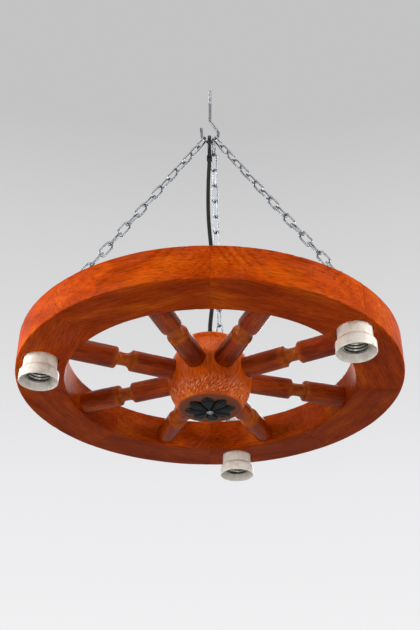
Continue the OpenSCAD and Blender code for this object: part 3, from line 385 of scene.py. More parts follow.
def agedPorcelain():
    # Glazed porcelain, ivory and greyed: a smooth glaze with grime that darkens it in patches
    # 9 mm wide, and brown specks about 5.5 mm apart.
    material, tree, surface = newMaterial("agedPorcelain", Roughness=0.36, IOR=1.5,
                                          Coat_Weight=0.15, Coat_Roughness=0.2)
    coords = addNode(tree, "ShaderNodeTexCoord")
    grime = addNode(tree, "ShaderNodeTexNoise", {"Vector": coords.outputs["Object"]},
                    {"Scale": 1 / (9 * mm), "Detail": 6.0, "Roughness": 0.7}).outputs["Fac"]
    glaze = grade(tree, grime, [(0.30, "#B4A892"), (0.44, "#D9D0C3"), (0.64, "#EAE4DA")])
    specks = addNode(tree, "ShaderNodeTexVoronoi", {"Vector": coords.outputs["Object"]},
                     {"Scale": 1 / (5.5 * mm), "Randomness": 1.0})
    speckShade = grade(tree, specks.outputs["Distance"],
                       [(0.05, (0.55, 0.5, 0.44, 1)), (0.10, 1)])
    tree.links.new(blend(tree, 0.6, glaze, speckShade, "MULTIPLY"),
                   surface.inputs["Base Color"])
    addBump(tree, surface, grime, 0.25, 0.2)
    return material


porcelain = agedPorcelain()
# Steel wire, galvanised bright: a thin zinc skin, shiny with duller spangles.
zincWire = plainMaterial("galvanisedWire", "#8E9195", 0.34, 2.2, 0.03, "#63666A", Metallic=1.0)
# The hook is drawn wire with the same zinc, rubbed brighter: a light middle, dark edges.
hookSteel = plainMaterial("rubbedZinc", "#86888B", 0.20, 6.0, 0.03, "#64676B", Metallic=1.0)
# Nickelled brass sheet, rolled into the socket's thread: bright ridges with a dull film.
threadMetal = plainMaterial("nickelledThread", "#A5A29B", 0.24, 3.0, 0.02, "#6E6B65",
                            Metallic=1.0)
# Stamped brass, yellowed a little; it also serves for the cores' bare strands.
brassTongue = plainMaterial("brassTongue", "#C49B52", 0.28, 2.0, 0.03, "#94713A", Metallic=1.0)
# Cord sheath: black soft PVC, extruded, with a low even sheen.
cordSheath = plainMaterial("cordSheath", "#0E0E10", 0.45, 1.6, 0.05, "#070708",
                           Specular_IOR_Level=0.2)
# Moulded rubber, matt and a little dusty.
sleeveRubber = plainMaterial("sleeveRubber", "#111112", 0.6, 1.2, 0.05, "#090909",
                             Specular_IOR_Level=0.2)
# Cast flower painted greenish black, satin and a little rubbed.
petalPaint = plainMaterial("blackenedPaint", "#141917", 0.46, 4.0, 0.08, "#080A09",
                           Specular_IOR_Level=0.1)
# Extruded PVC, smooth with a soft shine, in the cores' and the cables' colours.
coreBrown = plainMaterial("brownCorePvc", "#5A3A22", 0.38, 2.5, 0.04, "#412815")
cableWhite = plainMaterial("whiteCablePvc", "#DCDBD5", 0.36, 3.0, 0.04, "#C8C6BC")
coreBlue = plainMaterial("blueCorePvc", "#2A4FA0", 0.4, 2.0, 0.03)
coreGreen = plainMaterial("greenCorePvc", "#6F8A2A", 0.4, 2.0, 0.03)
# Moulded polyamide, off-white and nearly even.
whitePolyamide = plainMaterial("whitePolyamide", "#E4E2DA", 0.45, 3.0, 0.03, "#CFCCC2")
# Bare oak where the bit tore it: pale, dry and rough.
rawOak = plainMaterial("rawOak", "#E2B285", 0.8, 1.5, 0.3, "#B98458")
print("materials made")


# Supply cord

supply = {
    "diameter": 5.2, "length": 0.407, "steps": 4, "sides": 20,
    "route": [
        (0, 0, -390.3), (0.3, 0, -380), (1.5, 0, -366), (3, -0.5, -350), (4, -1, -330),
        (4, -1, -308), (3, -1.5, -285), (1.4, -2, -262), (-0.4, -2.5, -240), (-1.8, -3, -218),
        (-2.4, -3, -196), (-2.5, -3, -174), (-2.2, -3, -152), (-1.6, -3, -132),
        (-1, -2.7, -116), (-0.8, -2.7, -104), (-0.8, -3.3, -96.8), (-0.8, -5.4, -91.3),
        (-0.8, -8.2, -87.4), (-0.8, -10, -83.2), (-0.8, -10.4, -79.8), (-0.8, -9, -74.6),
        (-0.8, -5.2, -70.8), (-0.8, 0, -69.4), (-0.8, 5.2, -70.8), (-0.8, 9, -74.6),
        (-0.8, 10.4, -79.8), (-0.8, 10, -83.2), (-0.8, 8.2, -87.4), (-0.8, 5.4, -91.3),
        (-0.8, 3.3, -96.8), (-0.8, 2.7, -104), (-1, 2.7, -116), (-1.6, 3, -128),
        (-2, 3.4, -140)
    ]
}
cores = {"radius": 0.8, "off": 1.3, "copper": 0.45, "bare": 5, "sides": 12,
         "reach": [(-1.1, 0.9, -26), (0.9, 2.6, -24), (0.2, -0.9, -28)]}


def smoothRoute(points, steps):  # a smooth line through given points
    points = [Vector(p) for p in points]
    slopes = [(points[min(i + 1, len(points) - 1)] - points[max(i - 1, 0)]).normalized()
              for i in range(len(points))]
    line = []
    for a, b, slopeA, slopeB in zip(points, points[1:], slopes, slopes[1:]):
        reach = (b - a).length
        for k in range(steps):
            s = k / steps
            line.append(a * (2 * s ** 3 - 3 * s ** 2 + 1) + b * (3 * s ** 2 - 2 * s ** 3)
                        + slopeA * reach * (s ** 3 - 2 * s ** 2 + s)
                        + slopeB * reach * (s ** 3 - s ** 2))
    return line + [points[-1]]


def makeSupplyCord():
    line = [p * mm for p in smoothRoute(supply["route"], supply["steps"])]
    points = tubePoints(line, supply["diameter"] / 2 * mm, supply["sides"])
    piece = makeMesh("supplyCord", points, latheFaces(len(line), supply["sides"]), cordSheath,
                     "lamp", ["supply_cord"])
    sharpen(piece, 50)
    return piece, line


def makeCores():
    end = Vector(supply["route"][-1])
    pieces = []
    for k, paint in enumerate([coreBrown, coreBlue, coreGreen]):
        a = math.radians(120 * k)
        out = Vector((math.cos(a), math.sin(a), 0))
        tip = Vector(cores["reach"][k])
        root = end + out * cores["off"]
        route = [end + out * 1.2 + Vector((0, 0, -0.1)), root + Vector((0, 0, -8)),
                 root + Vector((0, 0, -16)) + tip * 0.2, root + tip]
        line = [p * mm for p in smoothRoute(route, 6)]
        points = tubePoints(line, cores["radius"] * mm, cores["sides"])
        pieces.append(makeMesh("cordCore_%d" % (k + 1), points,
                               latheFaces(len(line), cores["sides"]), paint, "lamp"))
        # Bare strands, twisted together, stand out of each core's end
        bare = cores["bare"]
        middle, far = Vector((0, 0, bare / 2 * mm)), Vector((-0.2 * mm, 0, bare * mm))
        strands = tubePoints([line[-1], line[-1] - middle, line[-1] - far],
                             cores["copper"] * mm, 8)
        makeMesh("coreCopper_%d" % (k + 1), strands, latheFaces(3, 8), brassTongue, "lamp")
    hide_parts("cord_cores")
    return pieces


cordPiece, cordLine = makeSupplyCord()
corePieces = makeCores()
print("cord laid over the hook")


# Rim

felloe = {"angle": 45, "arcSteps": 54, "edge": 1.4, "edgeSteps": 4, "chamfer": 0.3,
          "wave": 0.16, "waveLength": 38, "nick": 0.35, "nickLength": 6}
recess = {"radius": 19.75, "depth": 22, "rag": 1.6, "splinter": 0.18, "flare": 2.2,
          "segments": 72}
felloeLamp = {1: "rear", 3: "right", 6: "left"}


def rimOutline():  # (radius, height) round the felloe's section, in mm from the rim's middle
    e, steps = felloe["edge"], felloe["edgeSteps"]
    r0, r1, h = rimInner / mm, rimOuter / mm, rimHalf / mm
    corners = [((r1 - e, -h + e), -90), ((r1 - e, h - e), 0), ((r0 + e, h - e), 90),
               ((r0 + e, -h + e), 180)]
    arcs = [arcPoints(centre, e, start, start + 90, steps) for centre, start in corners]
    outline = []
    for n, arc in enumerate(arcs):
        (fromR, fromH), (toR, toH) = arc[-1], arcs[(n + 1) % 4][0]
        fill = 9 if n % 2 == 0 else 13
        outline += arc
        outline += [(fromR + (toR - fromR) * i / fill, fromH + (toH - fromH) * i / fill)
                    for i in range(1, fill)]
    return outline


def felloePoint(phi, r, h, seed, shrink):
    middle = Vector(((rimInner + rimOuter) / 2 / mm, 0))
    halfWide, halfHigh = rimWidth / mm / 2, rimHalf / mm
    offset = Vector((r, h)) - middle
    offset *= 1 - shrink / max(abs(offset.x), abs(offset.y))
    place = at(phi, (middle.x + offset.x) * mm, wheelZ + offset.y * mm)
    sample = place * (1 / (felloe["waveLength"] * mm)) + Vector((seed * 7.3, 0, 0))
    push = noise.noise(sample) * felloe["wave"] - felloe["wave"]
    inX, inY = halfWide - abs(offset.x), halfHigh - abs(offset.y)
    if min(abs(inX), abs(inY)) < 1.5 and inX < 3 and inY < 3:  # on a worn edge
        worn = noise.noise(place * (1 / (felloe["nickLength"] * mm))
                           + Vector((0, seed * 3.1, 0)))
        push -= max(0.0, worn - 0.25) * felloe["nick"] * 2
    r1 = middle.x + offset.x + offset.x / halfWide * push
    h1 = offset.y + offset.y / halfHigh * push
    return at(phi, r1 * mm, wheelZ + h1 * mm)


def makeFelloe(k, material):
    outline, steps = rimOutline(), felloe["arcSteps"]
    start, end = felloe["angle"] * (k - 1), felloe["angle"] * k
    chamfer = math.degrees(felloe["chamfer"] * mm / rimOuter)
    stations = [(start, felloe["chamfer"])]
    stations += [(start + chamfer + (end - start - 2 * chamfer) * i / steps, 0.0)
                 for i in range(steps + 1)]
    stations += [(end, felloe["chamfer"])]
    points = [felloePoint(phi, r, h, k, shrink) for phi, shrink in stations for r, h in outline]
    piece = makeMesh("felloe_%d_wood" % k, points, latheFaces(len(stations), len(outline)),
                     material, "lamp", ["felloe_%d" % k])
    recalcNormals(piece)
    if k in felloeLamp:
        boreRecess(piece, lampCentres[felloeLamp[k]], k)
    sharpen(piece, 32)


def boreRecess(piece, centre, seed):
    # The recess for the lampholder, with the wood torn a little round its mouth
    dice = random.Random(seed)
    segments = recess["segments"]
    torn = [max(0.0, noise.noise(Vector((math.cos(k * 0.087) * 2.2, math.sin(k * 0.087) * 2.2,
                                         seed)))) * recess["rag"]
            + dice.random() * recess["splinter"] for k in range(segments)]
    low = -rimHalf / mm
    rows = [(low - 3, 1.0), (low, 1.0), (low + recess["flare"], 0.0),
            (low + recess["depth"], 0.0)]
    points = []
    for z, share in rows:
        for k in range(segments):
            a = 2 * math.pi * k / segments
            r = recess["radius"] + torn[k] * share
            points.append(centre + Vector((r * mm * math.cos(a), r * mm * math.sin(a), z * mm)))
    mesh = bpy.data.meshes.new("borer")
    mesh.from_pydata(points, [], latheFaces(len(rows), segments))
    borer = putInScene("borer", mesh)
    recalcNormals(borer)
    cut = piece.modifiers.new("recess", "BOOLEAN")
    cut.operation = "DIFFERENCE"
    cut.solver = "EXACT"
    cut.object = borer
    bpy.context.view_layer.update()
    graph = bpy.context.evaluated_depsgraph_get()
    bored = bpy.data.meshes.new_from_object(piece.evaluated_get(graph))
    piece.modifiers.clear()
    piece.data = bored
    bpy.data.objects.remove(borer)


# Each felloe has a tone of its own board, and the far felloes are darkened towards the far side
# of the wheel: painted shade, standing in for the light falling off away from the lamps
boardToneAndFarShade = [0.74, 0.84, 0.94, 1.04, 1.0, 1.06, 0.9, 0.76]


def darkened(tones, share):
    return [tuple(c * share for c in hexColour(tone)[:3]) + (1.0,) for tone in tones]


for k in range(1, 9):
    # The rim's tones are scaled down on the far felloes: painted shade, on top of each board's
    # own tone
    tones = darkened(rimTones, boardToneAndFarShade[k - 1])
    makeFelloe(k, stainedOak("rimOak_%d" % k, tones, turn=felloe["angle"] * (k - 0.5),
                            seed=k)[0])
print("rim made of 8 felloes")


# Spokes and hub

spoke = {"hubRadius": 12.35, "rimRadius": 12.7, "neck": 7.75, "neckAt": 107.5,
         "neckLength": 4.5, "hubCove": 7, "rimCove": 6, "shoulder": 2.5, "start": 36,
         "edge": 0.5, "coveFrom": 35, "wobble": 0.12, "gouge": 0.035, "segments": 56,
         "shifts": [0, 2, 0, 5, 5, 0, 2, 0], "rubbed": (9.5, 11, 6)}


def spokeProfile(seed):  # (distance from the wheel's axis, radius), in mm
    s = spoke
    dice = random.Random(100 + seed)
    slack = [dice.uniform(-0.3, 0.3) for i in range(3)]  # turned by hand, so each differs
    hubR, rimR = s["hubRadius"], s["rimRadius"]
    neckAt = s["neckAt"] + s["shifts"][seed - 1]
    neckIn = neckAt - s["neckLength"] / 2 + slack[0]
    neckOut = neckAt + s["neckLength"] / 2 + slack[1]
    neck = s["neck"] + slack[2] * 0.6
    coveIn = neckIn - s["hubCove"]
    profile = [(s["start"] + (coveIn - 0.6 - s["start"]) * i / 24, hubR) for i in range(25)]
    profile += [(coveIn - 0.2, hubR - 0.12), (coveIn, hubR - s["edge"])]
    first = math.radians(s["coveFrom"])
    for i in range(1, 15):
        a = math.radians(s["coveFrom"] + (90 - s["coveFrom"]) * i / 14)
        profile.append((neckIn - s["hubCove"] * math.cos(a) / math.cos(first) * 0.98,
                        neck + (hubR - s["edge"] - neck) * (1 - math.sin(a))
                        / (1 - math.sin(first))))
    for i in range(0, 11):
        a = math.radians(90 * i / 10)
        profile.append((neckOut + s["rimCove"] * math.sin(a),
                        neck + (rimR - neck - s["shoulder"]) * (1 - math.cos(a))))
    for i in range(1, 9):
        a = math.radians(90 * i / 8)
        profile.append((neckOut + s["rimCove"] + s["shoulder"] * (1 - math.cos(a)),
                        rimR - s["shoulder"] * (1 - math.sin(a))))
    last, end = profile[-1][0], rimInner / mm + 0.6
    profile += [(last + (end - last) * i / 12, rimR) for i in range(1, 13)]
    return profile


def makeSpoke(k, material):
    profile = spokeProfile(k)

    def turned(r, z, a):
        wobble = noise.noise(Vector((math.cos(a) * 1.3, math.sin(a) * 1.3, z * 0.06 + k * 11)))
        rings = spoke["gouge"] * math.sin(z * 2.6 + k)  # the gouge's faint ridges
        return r + wobble * spoke["wobble"] + rings, z

    local = lathePoints([(r, z) for z, r in profile], spoke["segments"], turned)
    a = math.radians(spokeAngle(k))
    outward = Vector((math.sin(a), math.cos(a), 0))
    across = Vector((math.cos(a), -math.sin(a), 0))
    base = Vector((0, 0, spokeZ))
    points = [base + (outward * p.z + across * p.x + Vector((0, 0, p.y))) * mm for p in local]
    piece = makeMesh("spoke_%d_turned" % k, points,
                     latheFaces(len(profile), spoke["segments"]), material, "lamp",
                     ["spoke_%d" % k])
    finishFaces(piece, 40)


for k in range(1, 9):
    makeSpoke(k, spokeOak(k, spoke["neckAt"] + spoke["shifts"][k - 1]))

hubShape = {"belly": 49.7, "bottom": 38, "down": 46, "up": 37, "bellyDrop": 8, "edge": 3,
            "face": 34, "bead": 3.5, "beadRadius": 38, "cove": 1.1, "coveHeight": 3,
            "cavity": 24.15, "tornFrom": -26, "tornTo": -43, "tornDepth": 0.55,
            "wobble": 0.25, "segments": 288, "seam": 0.9, "slant": -48, "fleck": (5.0, 1.5),
            "pit": (4.0, 1.3)}


def hubProfile():
    s = hubShape
    halfHeight = s["down"] - s["edge"] - s["bellyDrop"]
    rise = s["belly"] - s["bottom"]
    arc = (halfHeight ** 2 + rise ** 2) / (2 * rise)
    centre = s["belly"] - arc
    top = s["up"] - 2 * s["bead"] - s["coveHeight"]
    flat = s["bottom"] - s["edge"]
    profile = [(flat - s["face"] + s["face"] * i / 16, -s["down"]) for i in range(17)]
    for i in range(1, 7):
        a = math.radians(15 * i)
        profile.append((flat + s["edge"] * math.sin(a),
                        -s["down"] + s["edge"] * (1 - math.cos(a))))
    low = -s["down"] + s["edge"]
    for i in range(1, 73):
        z = low + (top - low) * i / 72
        profile.append((centre + math.sqrt(arc ** 2 - (z + s["bellyDrop"]) ** 2), z))
    profile.append((s["beadRadius"] - s["cove"], top + s["coveHeight"] * 0.8))
    profile += arcPoints((s["beadRadius"] - s["bead"], s["up"] - s["bead"]), s["bead"],
                         -45, 90, 9)
    profile += [(s["cavity"] + 0.3, s["up"]), (s["cavity"], s["up"] - 0.3),
                (s["cavity"], s["up"] - 3)]
    return profile


def makeHub(material):
    s = hubShape
    middle = (s["tornFrom"] + s["tornTo"]) / 2
    half = (s["tornFrom"] - s["tornTo"]) / 2

    def torn(r, z, a):
        # Below the belly the gouge tore the end grain: short slanting pits round the hub
        c, d = math.cos(a), math.sin(a)
        share = max(0.0, 1 - abs(z - middle) / half) ** 0.5
        pit = noise.noise(Vector((c * 15, d * 15, z * 0.55 + 0.5 * math.sin(a * 21))))
        pit = max(0.0, pit + 0.12) * share * s["tornDepth"] * 2
        wobble = noise.noise(Vector((c * 1.1, d * 1.1, z * 0.03))) * s["wobble"]
        return r - (pit if r > s["bottom"] - 1 and z < s["up"] - 14 else 0) + wobble, z

    profile = hubProfile()
    points = [Vector((p.x * mm, p.y * mm, wheelZ + p.z * mm))
              for p in lathePoints(profile, s["segments"], torn)]
    piece = makeMesh("hub_turned", points, latheFaces(len(profile), s["segments"]), material,
                     "lamp", ["hub"])
    finishFaces(piece, 45)


def refinish(nodeName, finish):  # a solid of the frame kept, in another finish
    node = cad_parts[nodeName]
    node.data.materials.clear()
    node.data.materials.append(finish)
    return node


makeHub(hubOak())
refinish("hub_cap", stainedOak("capOak", hubTones, seed=52)[0])
refinish("felloe_dowels", rawOak)
print("spokes and hub turned")


# Rosette

flower = {"petals": 8, "root": 2.6, "tip": 28.85, "shoulder": 18.46, "gap": 1.4,
          "plate": 1.8, "rim": 3.1, "thinning": 0.9, "dome": 1.7, "vein": 0.55,
          "veinWidth": 0.2, "hub": 4.6, "turn": -8, "across": 12, "along": 26}


def petalHalfWidth(r):
    half = math.radians(180 / flower["petals"])
    gap = flower["gap"] / 2 / math.cos(half)
    full = flower["shoulder"] * math.tan(half) - gap
    if r <= flower["shoulder"]:
        return max(0.25, r * math.tan(half) - gap)
    rise = flower["tip"] - flower["shoulder"]
    arc = (full ** 2 + rise ** 2) / (2 * full)
    return max(0.05, full - arc
               + math.sqrt(max(0.0, arc ** 2 - (r - flower["shoulder"]) ** 2)))


def petalTop(r, t):  # how far the petal stands out, t from -1 to 1 across it
    f = flower
    swell = (1 - t * t) ** 0.6 * min(1.0, (f["tip"] - r) / 7 + 0.1)
    vein = -f["vein"] * math.exp(-(t / f["veinWidth"]) ** 2) * min(1.0, (r - f["root"]) / 8)
    return f["rim"] - f["thinning"] * (r / f["tip"]) ** 2 + (f["dome"] + vein) * swell


def makeRosette():
    points, faces = [], []
    f = flower
    across, along = f["across"], f["along"]
    for k in range(f["petals"]):
        a = math.radians(360 / f["petals"] * k + f["turn"])
        first = len(points)
        for layer in (0, 1):
            for i in range(along + 1):
                r = f["root"] + (f["tip"] - f["root"]) * (i / along) ** 0.9
                w = petalHalfWidth(r)
                for j in range(across + 1):
                    t = -1 + 2 * j / across
                    h = 0.05 if layer else petalTop(r, t)
                    x = t * w
                    points.append(Vector(((x * math.cos(a) - r * math.sin(a)) * mm,
                                          (x * math.sin(a) + r * math.cos(a)) * mm,
                                          wheelZ - (hubShape["down"] + h) * mm)))
        count = across + 1
        block = (along + 1) * count
        for i in range(along):
            for j in range(across):
                p = first + i * count + j
                q = p + block
                faces.append((p, p + 1, p + 1 + count, p + count))
                faces.append((q, q + count, q + 1 + count, q + 1))
        border = [i * count for i in range(along + 1)]
        border += [along * count + j for j in range(1, count)]
        border += [i * count + across for i in range(along - 1, -1, -1)]
        border += list(range(across - 1, 0, -1))
        for p, q in zip(border, border[1:] + border[:1]):
            faces.append((first + p, first + q, first + q + block, first + p + block))
    piece = makeMesh("rosette_petals", points, faces, petalPaint, "lamp",
                     ["rosette"])
    finishFaces(piece, 50)
    boss = [(0.5, -f["rim"] - 1.2), (f["hub"] - 1, -f["rim"] - 1.2),
            (f["hub"] - 0.3, -f["rim"] - 0.9), (f["hub"], -f["rim"] - 0.3),
            (f["hub"] + 0.3, -f["plate"]), (11, -f["plate"] + 0.2), (14.4, -0.9),
            (14.6, -0.15), (0.5, -0.15)]
    plate = [Vector((p.x * mm, p.y * mm, wheelZ + (p.z - hubShape["down"]) * mm))
             for p in lathePoints(boss, 48)]
    middle = makeMesh("rosette_plate", plate, latheFaces(len(boss), 48, True), petalPaint,
                      "lamp")
    finishFaces(middle, 40)


makeRosette()
print("rosette made")


# Lampholders

holder = {"tier": 18.75, "top": 1.9, "tierBottom": -31.5, "gap": 0.3, "flare": 3.5,
          "skirt": 21.8, "mouth": -47, "lip": 1.8, "lipRound": 0.9, "flange": -39.5,
          "seat": 15.7, "bore": 13.9, "floor": -22, "spigot": 16.5, "spigotEnd": -38.8,
          "stemHole": 5.1, "segments": 96}
thread = {"pitch": 3.63, "inner": 12.7, "depth": 1.05, "sheet": 0.08, "length": 15.0,
          "flangeOut": 15.3, "flangeSheet": 0.45, "rows": 76, "segments": 96}
contact = {"button": 4.5, "thick": 1.2, "stem": 1.6, "stemLength": 12, "below": 2}


def placeRound(name, centre, profile, segments, material, replaced, shape=None,
               body="lamp", crisp=40):
    points = [centre + p * mm for p in lathePoints(profile, segments, shape)]
    piece = makeMesh(name, points, latheFaces(len(profile), segments, True), material, body,
                     replaced)
    finishFaces(piece, crisp)


def makeHolder(lampName, seed):
    centre, s = lampCentres[lampName], holder
    t, e = s["tier"], s["tierBottom"]

    def uneven(r, z, a):  # slip-cast ware is never quite round
        spot = Vector((math.cos(a) * 1.6, math.sin(a) * 1.6, z * 0.12 + seed))
        return r + 0.10 * noise.noise(spot), z

    base = [(s["bore"], s["floor"] + 0.4), (s["bore"], s["spigotEnd"]),
            (s["spigot"] - 0.4, s["spigotEnd"]), (s["spigot"], s["spigotEnd"] + 0.4),
            (s["spigot"], e)]
    base += arcPoints((t - 0.7, e + 0.7), 0.7, -90, 0, 4)
    base += [(t, e + (s["top"] - 1 - e) * i / 20) for i in range(1, 20)]
    base += arcPoints((t - 1, s["top"] - 1), 1, 0, 90, 4)
    base += [(s["stemHole"], s["top"]), (s["stemHole"], s["floor"] + 3.2),
             (s["stemHole"], s["floor"]), (s["bore"] - 0.4, s["floor"])]
    placeRound("lampholderBase_" + lampName, centre, base, s["segments"], porcelain,
               ["lampholder_base_" + lampName], uneven)
    top = e - s["gap"]
    skirt = [(s["spigot"] + 0.1, top), (t - 0.5, top)]
    skirt += arcPoints((t - 0.5, top - 0.5), 0.5, 90, 0, 3)
    for i in range(1, 13):  # the flare is a soft S from the tier out to the skirt
        u = i / 12
        skirt.append((t + (s["skirt"] - t) * (3 * u * u - 2 * u ** 3),
                      top - 0.5 - (s["flare"] + 0.6) * u))
    wall = top - 4.6
    skirt += [(s["skirt"], wall - (wall - s["mouth"] - 1) * i / 10) for i in range(1, 11)]
    skirt += arcPoints((s["skirt"] - s["lipRound"], s["mouth"] + s["lipRound"]),
                       s["lipRound"], 0, -180, 8)[1:]
    fromR, fromZ = s["skirt"] - s["lip"], s["mouth"] + s["lipRound"]
    toR, toZ = s["seat"], s["flange"] - 0.1
    skirt += [(fromR + (toR - fromR) * i / 8, fromZ + (toZ - fromZ) * i / 8)
              for i in range(1, 9)]
    skirt += [(s["seat"], -39), (s["spigot"] + 0.1, -39)]
    placeRound("lampholderSkirt_" + lampName, centre, skirt, s["segments"], porcelain,
               ["lampholder_skirt_" + lampName], uneven)


def makeThreadShell(lampName):
    # Rolled thread: the sheet swells out and in along a helix
    centre, low, s = lampCentres[lampName], holder["flange"], thread
    segments, rows, points = s["segments"], s["rows"], []
    turns = [2 * math.pi * k / segments for k in range(segments)]
    for layer in (0, 1):
        order = range(rows + 1) if layer == 0 else range(rows, -1, -1)
        for i in order:
            z = low + s["length"] * i / rows
            fade = min(1.0, i / rows * 9) * min(1.0, (1 - i / rows) * 12)
            for a in turns:
                wave = 0.5 - 0.5 * math.cos(2 * math.pi * ((z - low) / s["pitch"]) - a)
                r = s["inner"] + s["depth"] * wave * fade
                r += s["sheet"] * layer
                points.append(centre + Vector((r * math.cos(a), r * math.sin(a), z)) * mm)
    out, thick = s["flangeOut"], s["flangeSheet"]
    for r, dz in ((13.6, thick), (out, thick), (out, 0.0), (13.5, 0.0)):
        for a in turns:
            points.append(centre + Vector((r * math.cos(a), r * math.sin(a), low + dz)) * mm)
    total = len(points) // segments
    piece = makeMesh("threadShell_" + lampName, points, latheFaces(total, segments, True),
                     threadMetal, "lamp", ["thread_shell_" + lampName])
    finishFaces(piece, 50)


def makeContact(lampName):
    # A sprung brass button with a rolled edge on its stem
    s = contact
    low = holder["floor"] - s["below"]
    back, end = low + s["thick"], low + s["stemLength"]
    profile = [(0.3, low), (2.2, low + 0.02), (3.6, low + 0.12), (4.3, low + 0.4),
               (s["button"], low + 0.8), (4.2, back), (s["stem"], back), (s["stem"], end),
               (0.3, end)]
    placeRound("centreContact_" + lampName, lampCentres[lampName], profile, 48, brassTongue,
               ["centre_contact_" + lampName], body="contact_" + lampName, crisp=50)


for n, lampName in enumerate(lampNames):
    makeHolder(lampName, 5 * n)
    makeThreadShell(lampName)
    makeContact(lampName)

# Round each recess: seed, middle and half the spread in degrees, number of slivers
tornFibres = {"left": (3, -72, 44, 26), "right": (8, -120, 60, 9), "rear": (12, -62, 40, 14)}
sliver = {"length": (1.8, 4.6), "width": (0.5, 1.3), "thick": 0.3}


def makeTornFibres(lampName, seed, middle, spread, count):
    # Slivers of raw wood left standing round the recess where the bit tore the rim
    centre = lampCentres[lampName]
    dice = random.Random(seed)
    points, faces = [], []
    for n in range(count):
        a = math.radians(middle + dice.uniform(-spread, spread))
        length, width = dice.uniform(*sliver["length"]), dice.uniform(*sliver["width"])
        root = Vector((math.cos(a), math.sin(a), 0))
        roundWay = Vector((-math.sin(a), math.cos(a), 0))
        along = (roundWay * dice.uniform(-1, 1) - root * dice.uniform(0.1, 0.5)
                 + Vector((0, 0, -dice.uniform(0.25, 0.9)))).normalized()
        side = along.cross(root).normalized()
        lift = along.cross(side).normalized()
        start = centre + root * (recess["radius"] + 0.35) * mm
        start = start + Vector((0, 0, -rimHalf + 0.3 * mm))
        first = len(points)
        for i in range(4):
            u = i / 3
            bend = root * (-0.5 * u * u * length * dice.uniform(-0.5, 0.4))
            spot = start + (along * length * u + bend) * mm
            w, thick = width * (1 - 0.85 * u), sliver["thick"] * (1 - 0.7 * u)
            for sx, sy in ((-1, -1), (1, -1), (1, 1), (-1, 1)):
                points.append(spot + (side * sx * w / 2 + lift * sy * thick / 2) * mm)
        faces += [tuple(first + f for f in face) for face in gridFaces(4, 4)]
        faces += [(first + 3, first + 2, first + 1, first),
                  tuple(first + 12 + j for j in range(4))]
    piece = makeMesh("tornFibres_" + lampName, points, faces, rawOak, "lamp",
                     smooth=False)
    recalcNormals(piece)


for lampName, torn in tornFibres.items():
    makeTornFibres(lampName, *torn)
print("lampholders made")


# Chains

linkShape = {"wire": 2.6, "width": 11.4, "length": 27.3, "weld": 0.13, "weldLength": 0.09,
             "sides": 12, "arcSteps": 9, "sideSteps": 7}


def islandsOf(node):  # groups of a CAD node's points, one for each separate solid
    work = bmesh.new()
    work.from_mesh(node.data)
    bmesh.ops.remove_doubles(work, verts=work.verts, dist=1e-6)
    work.verts.ensure_lookup_table()
    seen, groups = set(), []
    for start in work.verts:
        if start.index in seen:
            continue
        stack, group = [start], []
        seen.add(start.index)
        while stack:
            v = stack.pop()
            group.append(v.co.copy())
            for edge in v.link_edges:
                other = edge.other_vert(v)
                if other.index not in seen:
                    seen.add(other.index)
                    stack.append(other)
        groups.append(group)
    work.free()
    return groups


def linkFrame(group):  # middle of a link, its long way and its wide way
    cloud = np.array([tuple(p) for p in group])
    _, _, ways = np.linalg.svd(cloud - cloud.mean(0), full_matrices=False)
    spans = [(cloud @ w).max() - (cloud @ w).min() for w in ways]
    order = np.argsort(spans)[::-1]
    middle = sum(w * ((cloud @ w).max() + (cloud @ w).min()) / 2 for w in ways)
    return Vector(middle), Vector(ways[order[0]]), Vector(ways[order[1]])


def makeChain(lampName, seed):
    s = linkShape
    crown = s["width"] / 2 - s["wire"] / 2
    straight = s["length"] - s["width"]
    dice = random.Random(seed)
    points, faces = [], []
    groups = islandsOf(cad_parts["chain_" + lampName])
    for group in groups:
        middle, longWay, wideWay = linkFrame(group)
        weldSide = dice.choice([-1, 1])
        path, swell = [], []
        for end in (1, -1):
            for i in range(s["arcSteps"] + 1):
                a = math.pi * i / s["arcSteps"]
                u = end * (straight / 2 + crown * math.sin(a))
                v = end * crown * math.cos(a)
                path.append(middle + (longWay * u + wideWay * v) * mm)
                swell.append(1.0)
            for i in range(1, s["sideSteps"]):
                share = i / s["sideSteps"]
                u = end * straight * (0.5 - share)
                v = -end * crown
                path.append(middle + (longWay * u + wideWay * v) * mm)
                weld = math.exp(-((share - 0.5) / s["weldLength"]) ** 2)
                swell.append(1 + s["weld"] * (weld if end == weldSide else 0))
        first = len(points)
        points += tubePoints(path, lambda i: s["wire"] / 2 * mm * swell[i], s["sides"], True)
        faces += [tuple(first + f for f in face)
                  for face in gridFaces(len(path), s["sides"], True, True)]
    piece = makeMesh("chain_%s_links" % lampName, points, faces, zincWire, "lamp",
                     ["chain_" + lampName])
    recalcNormals(piece)
    return len(groups)


for n, lampName in enumerate(lampNames):
    print("chain", lampName, "links:", makeChain(lampName, n))


# Hook

hook = {"wire": 3.8, "bowl": 11.3, "drop": 75, "tipLean": 5, "tip": 16, "backLean": 5,
        "back": 6, "slope": 28, "backBend": 8, "neckBend": 10, "screw": 4.6,
        "screwLength": 25, "point": 5, "pitch": 1.8, "threadDepth": 0.45, "sides": 24}


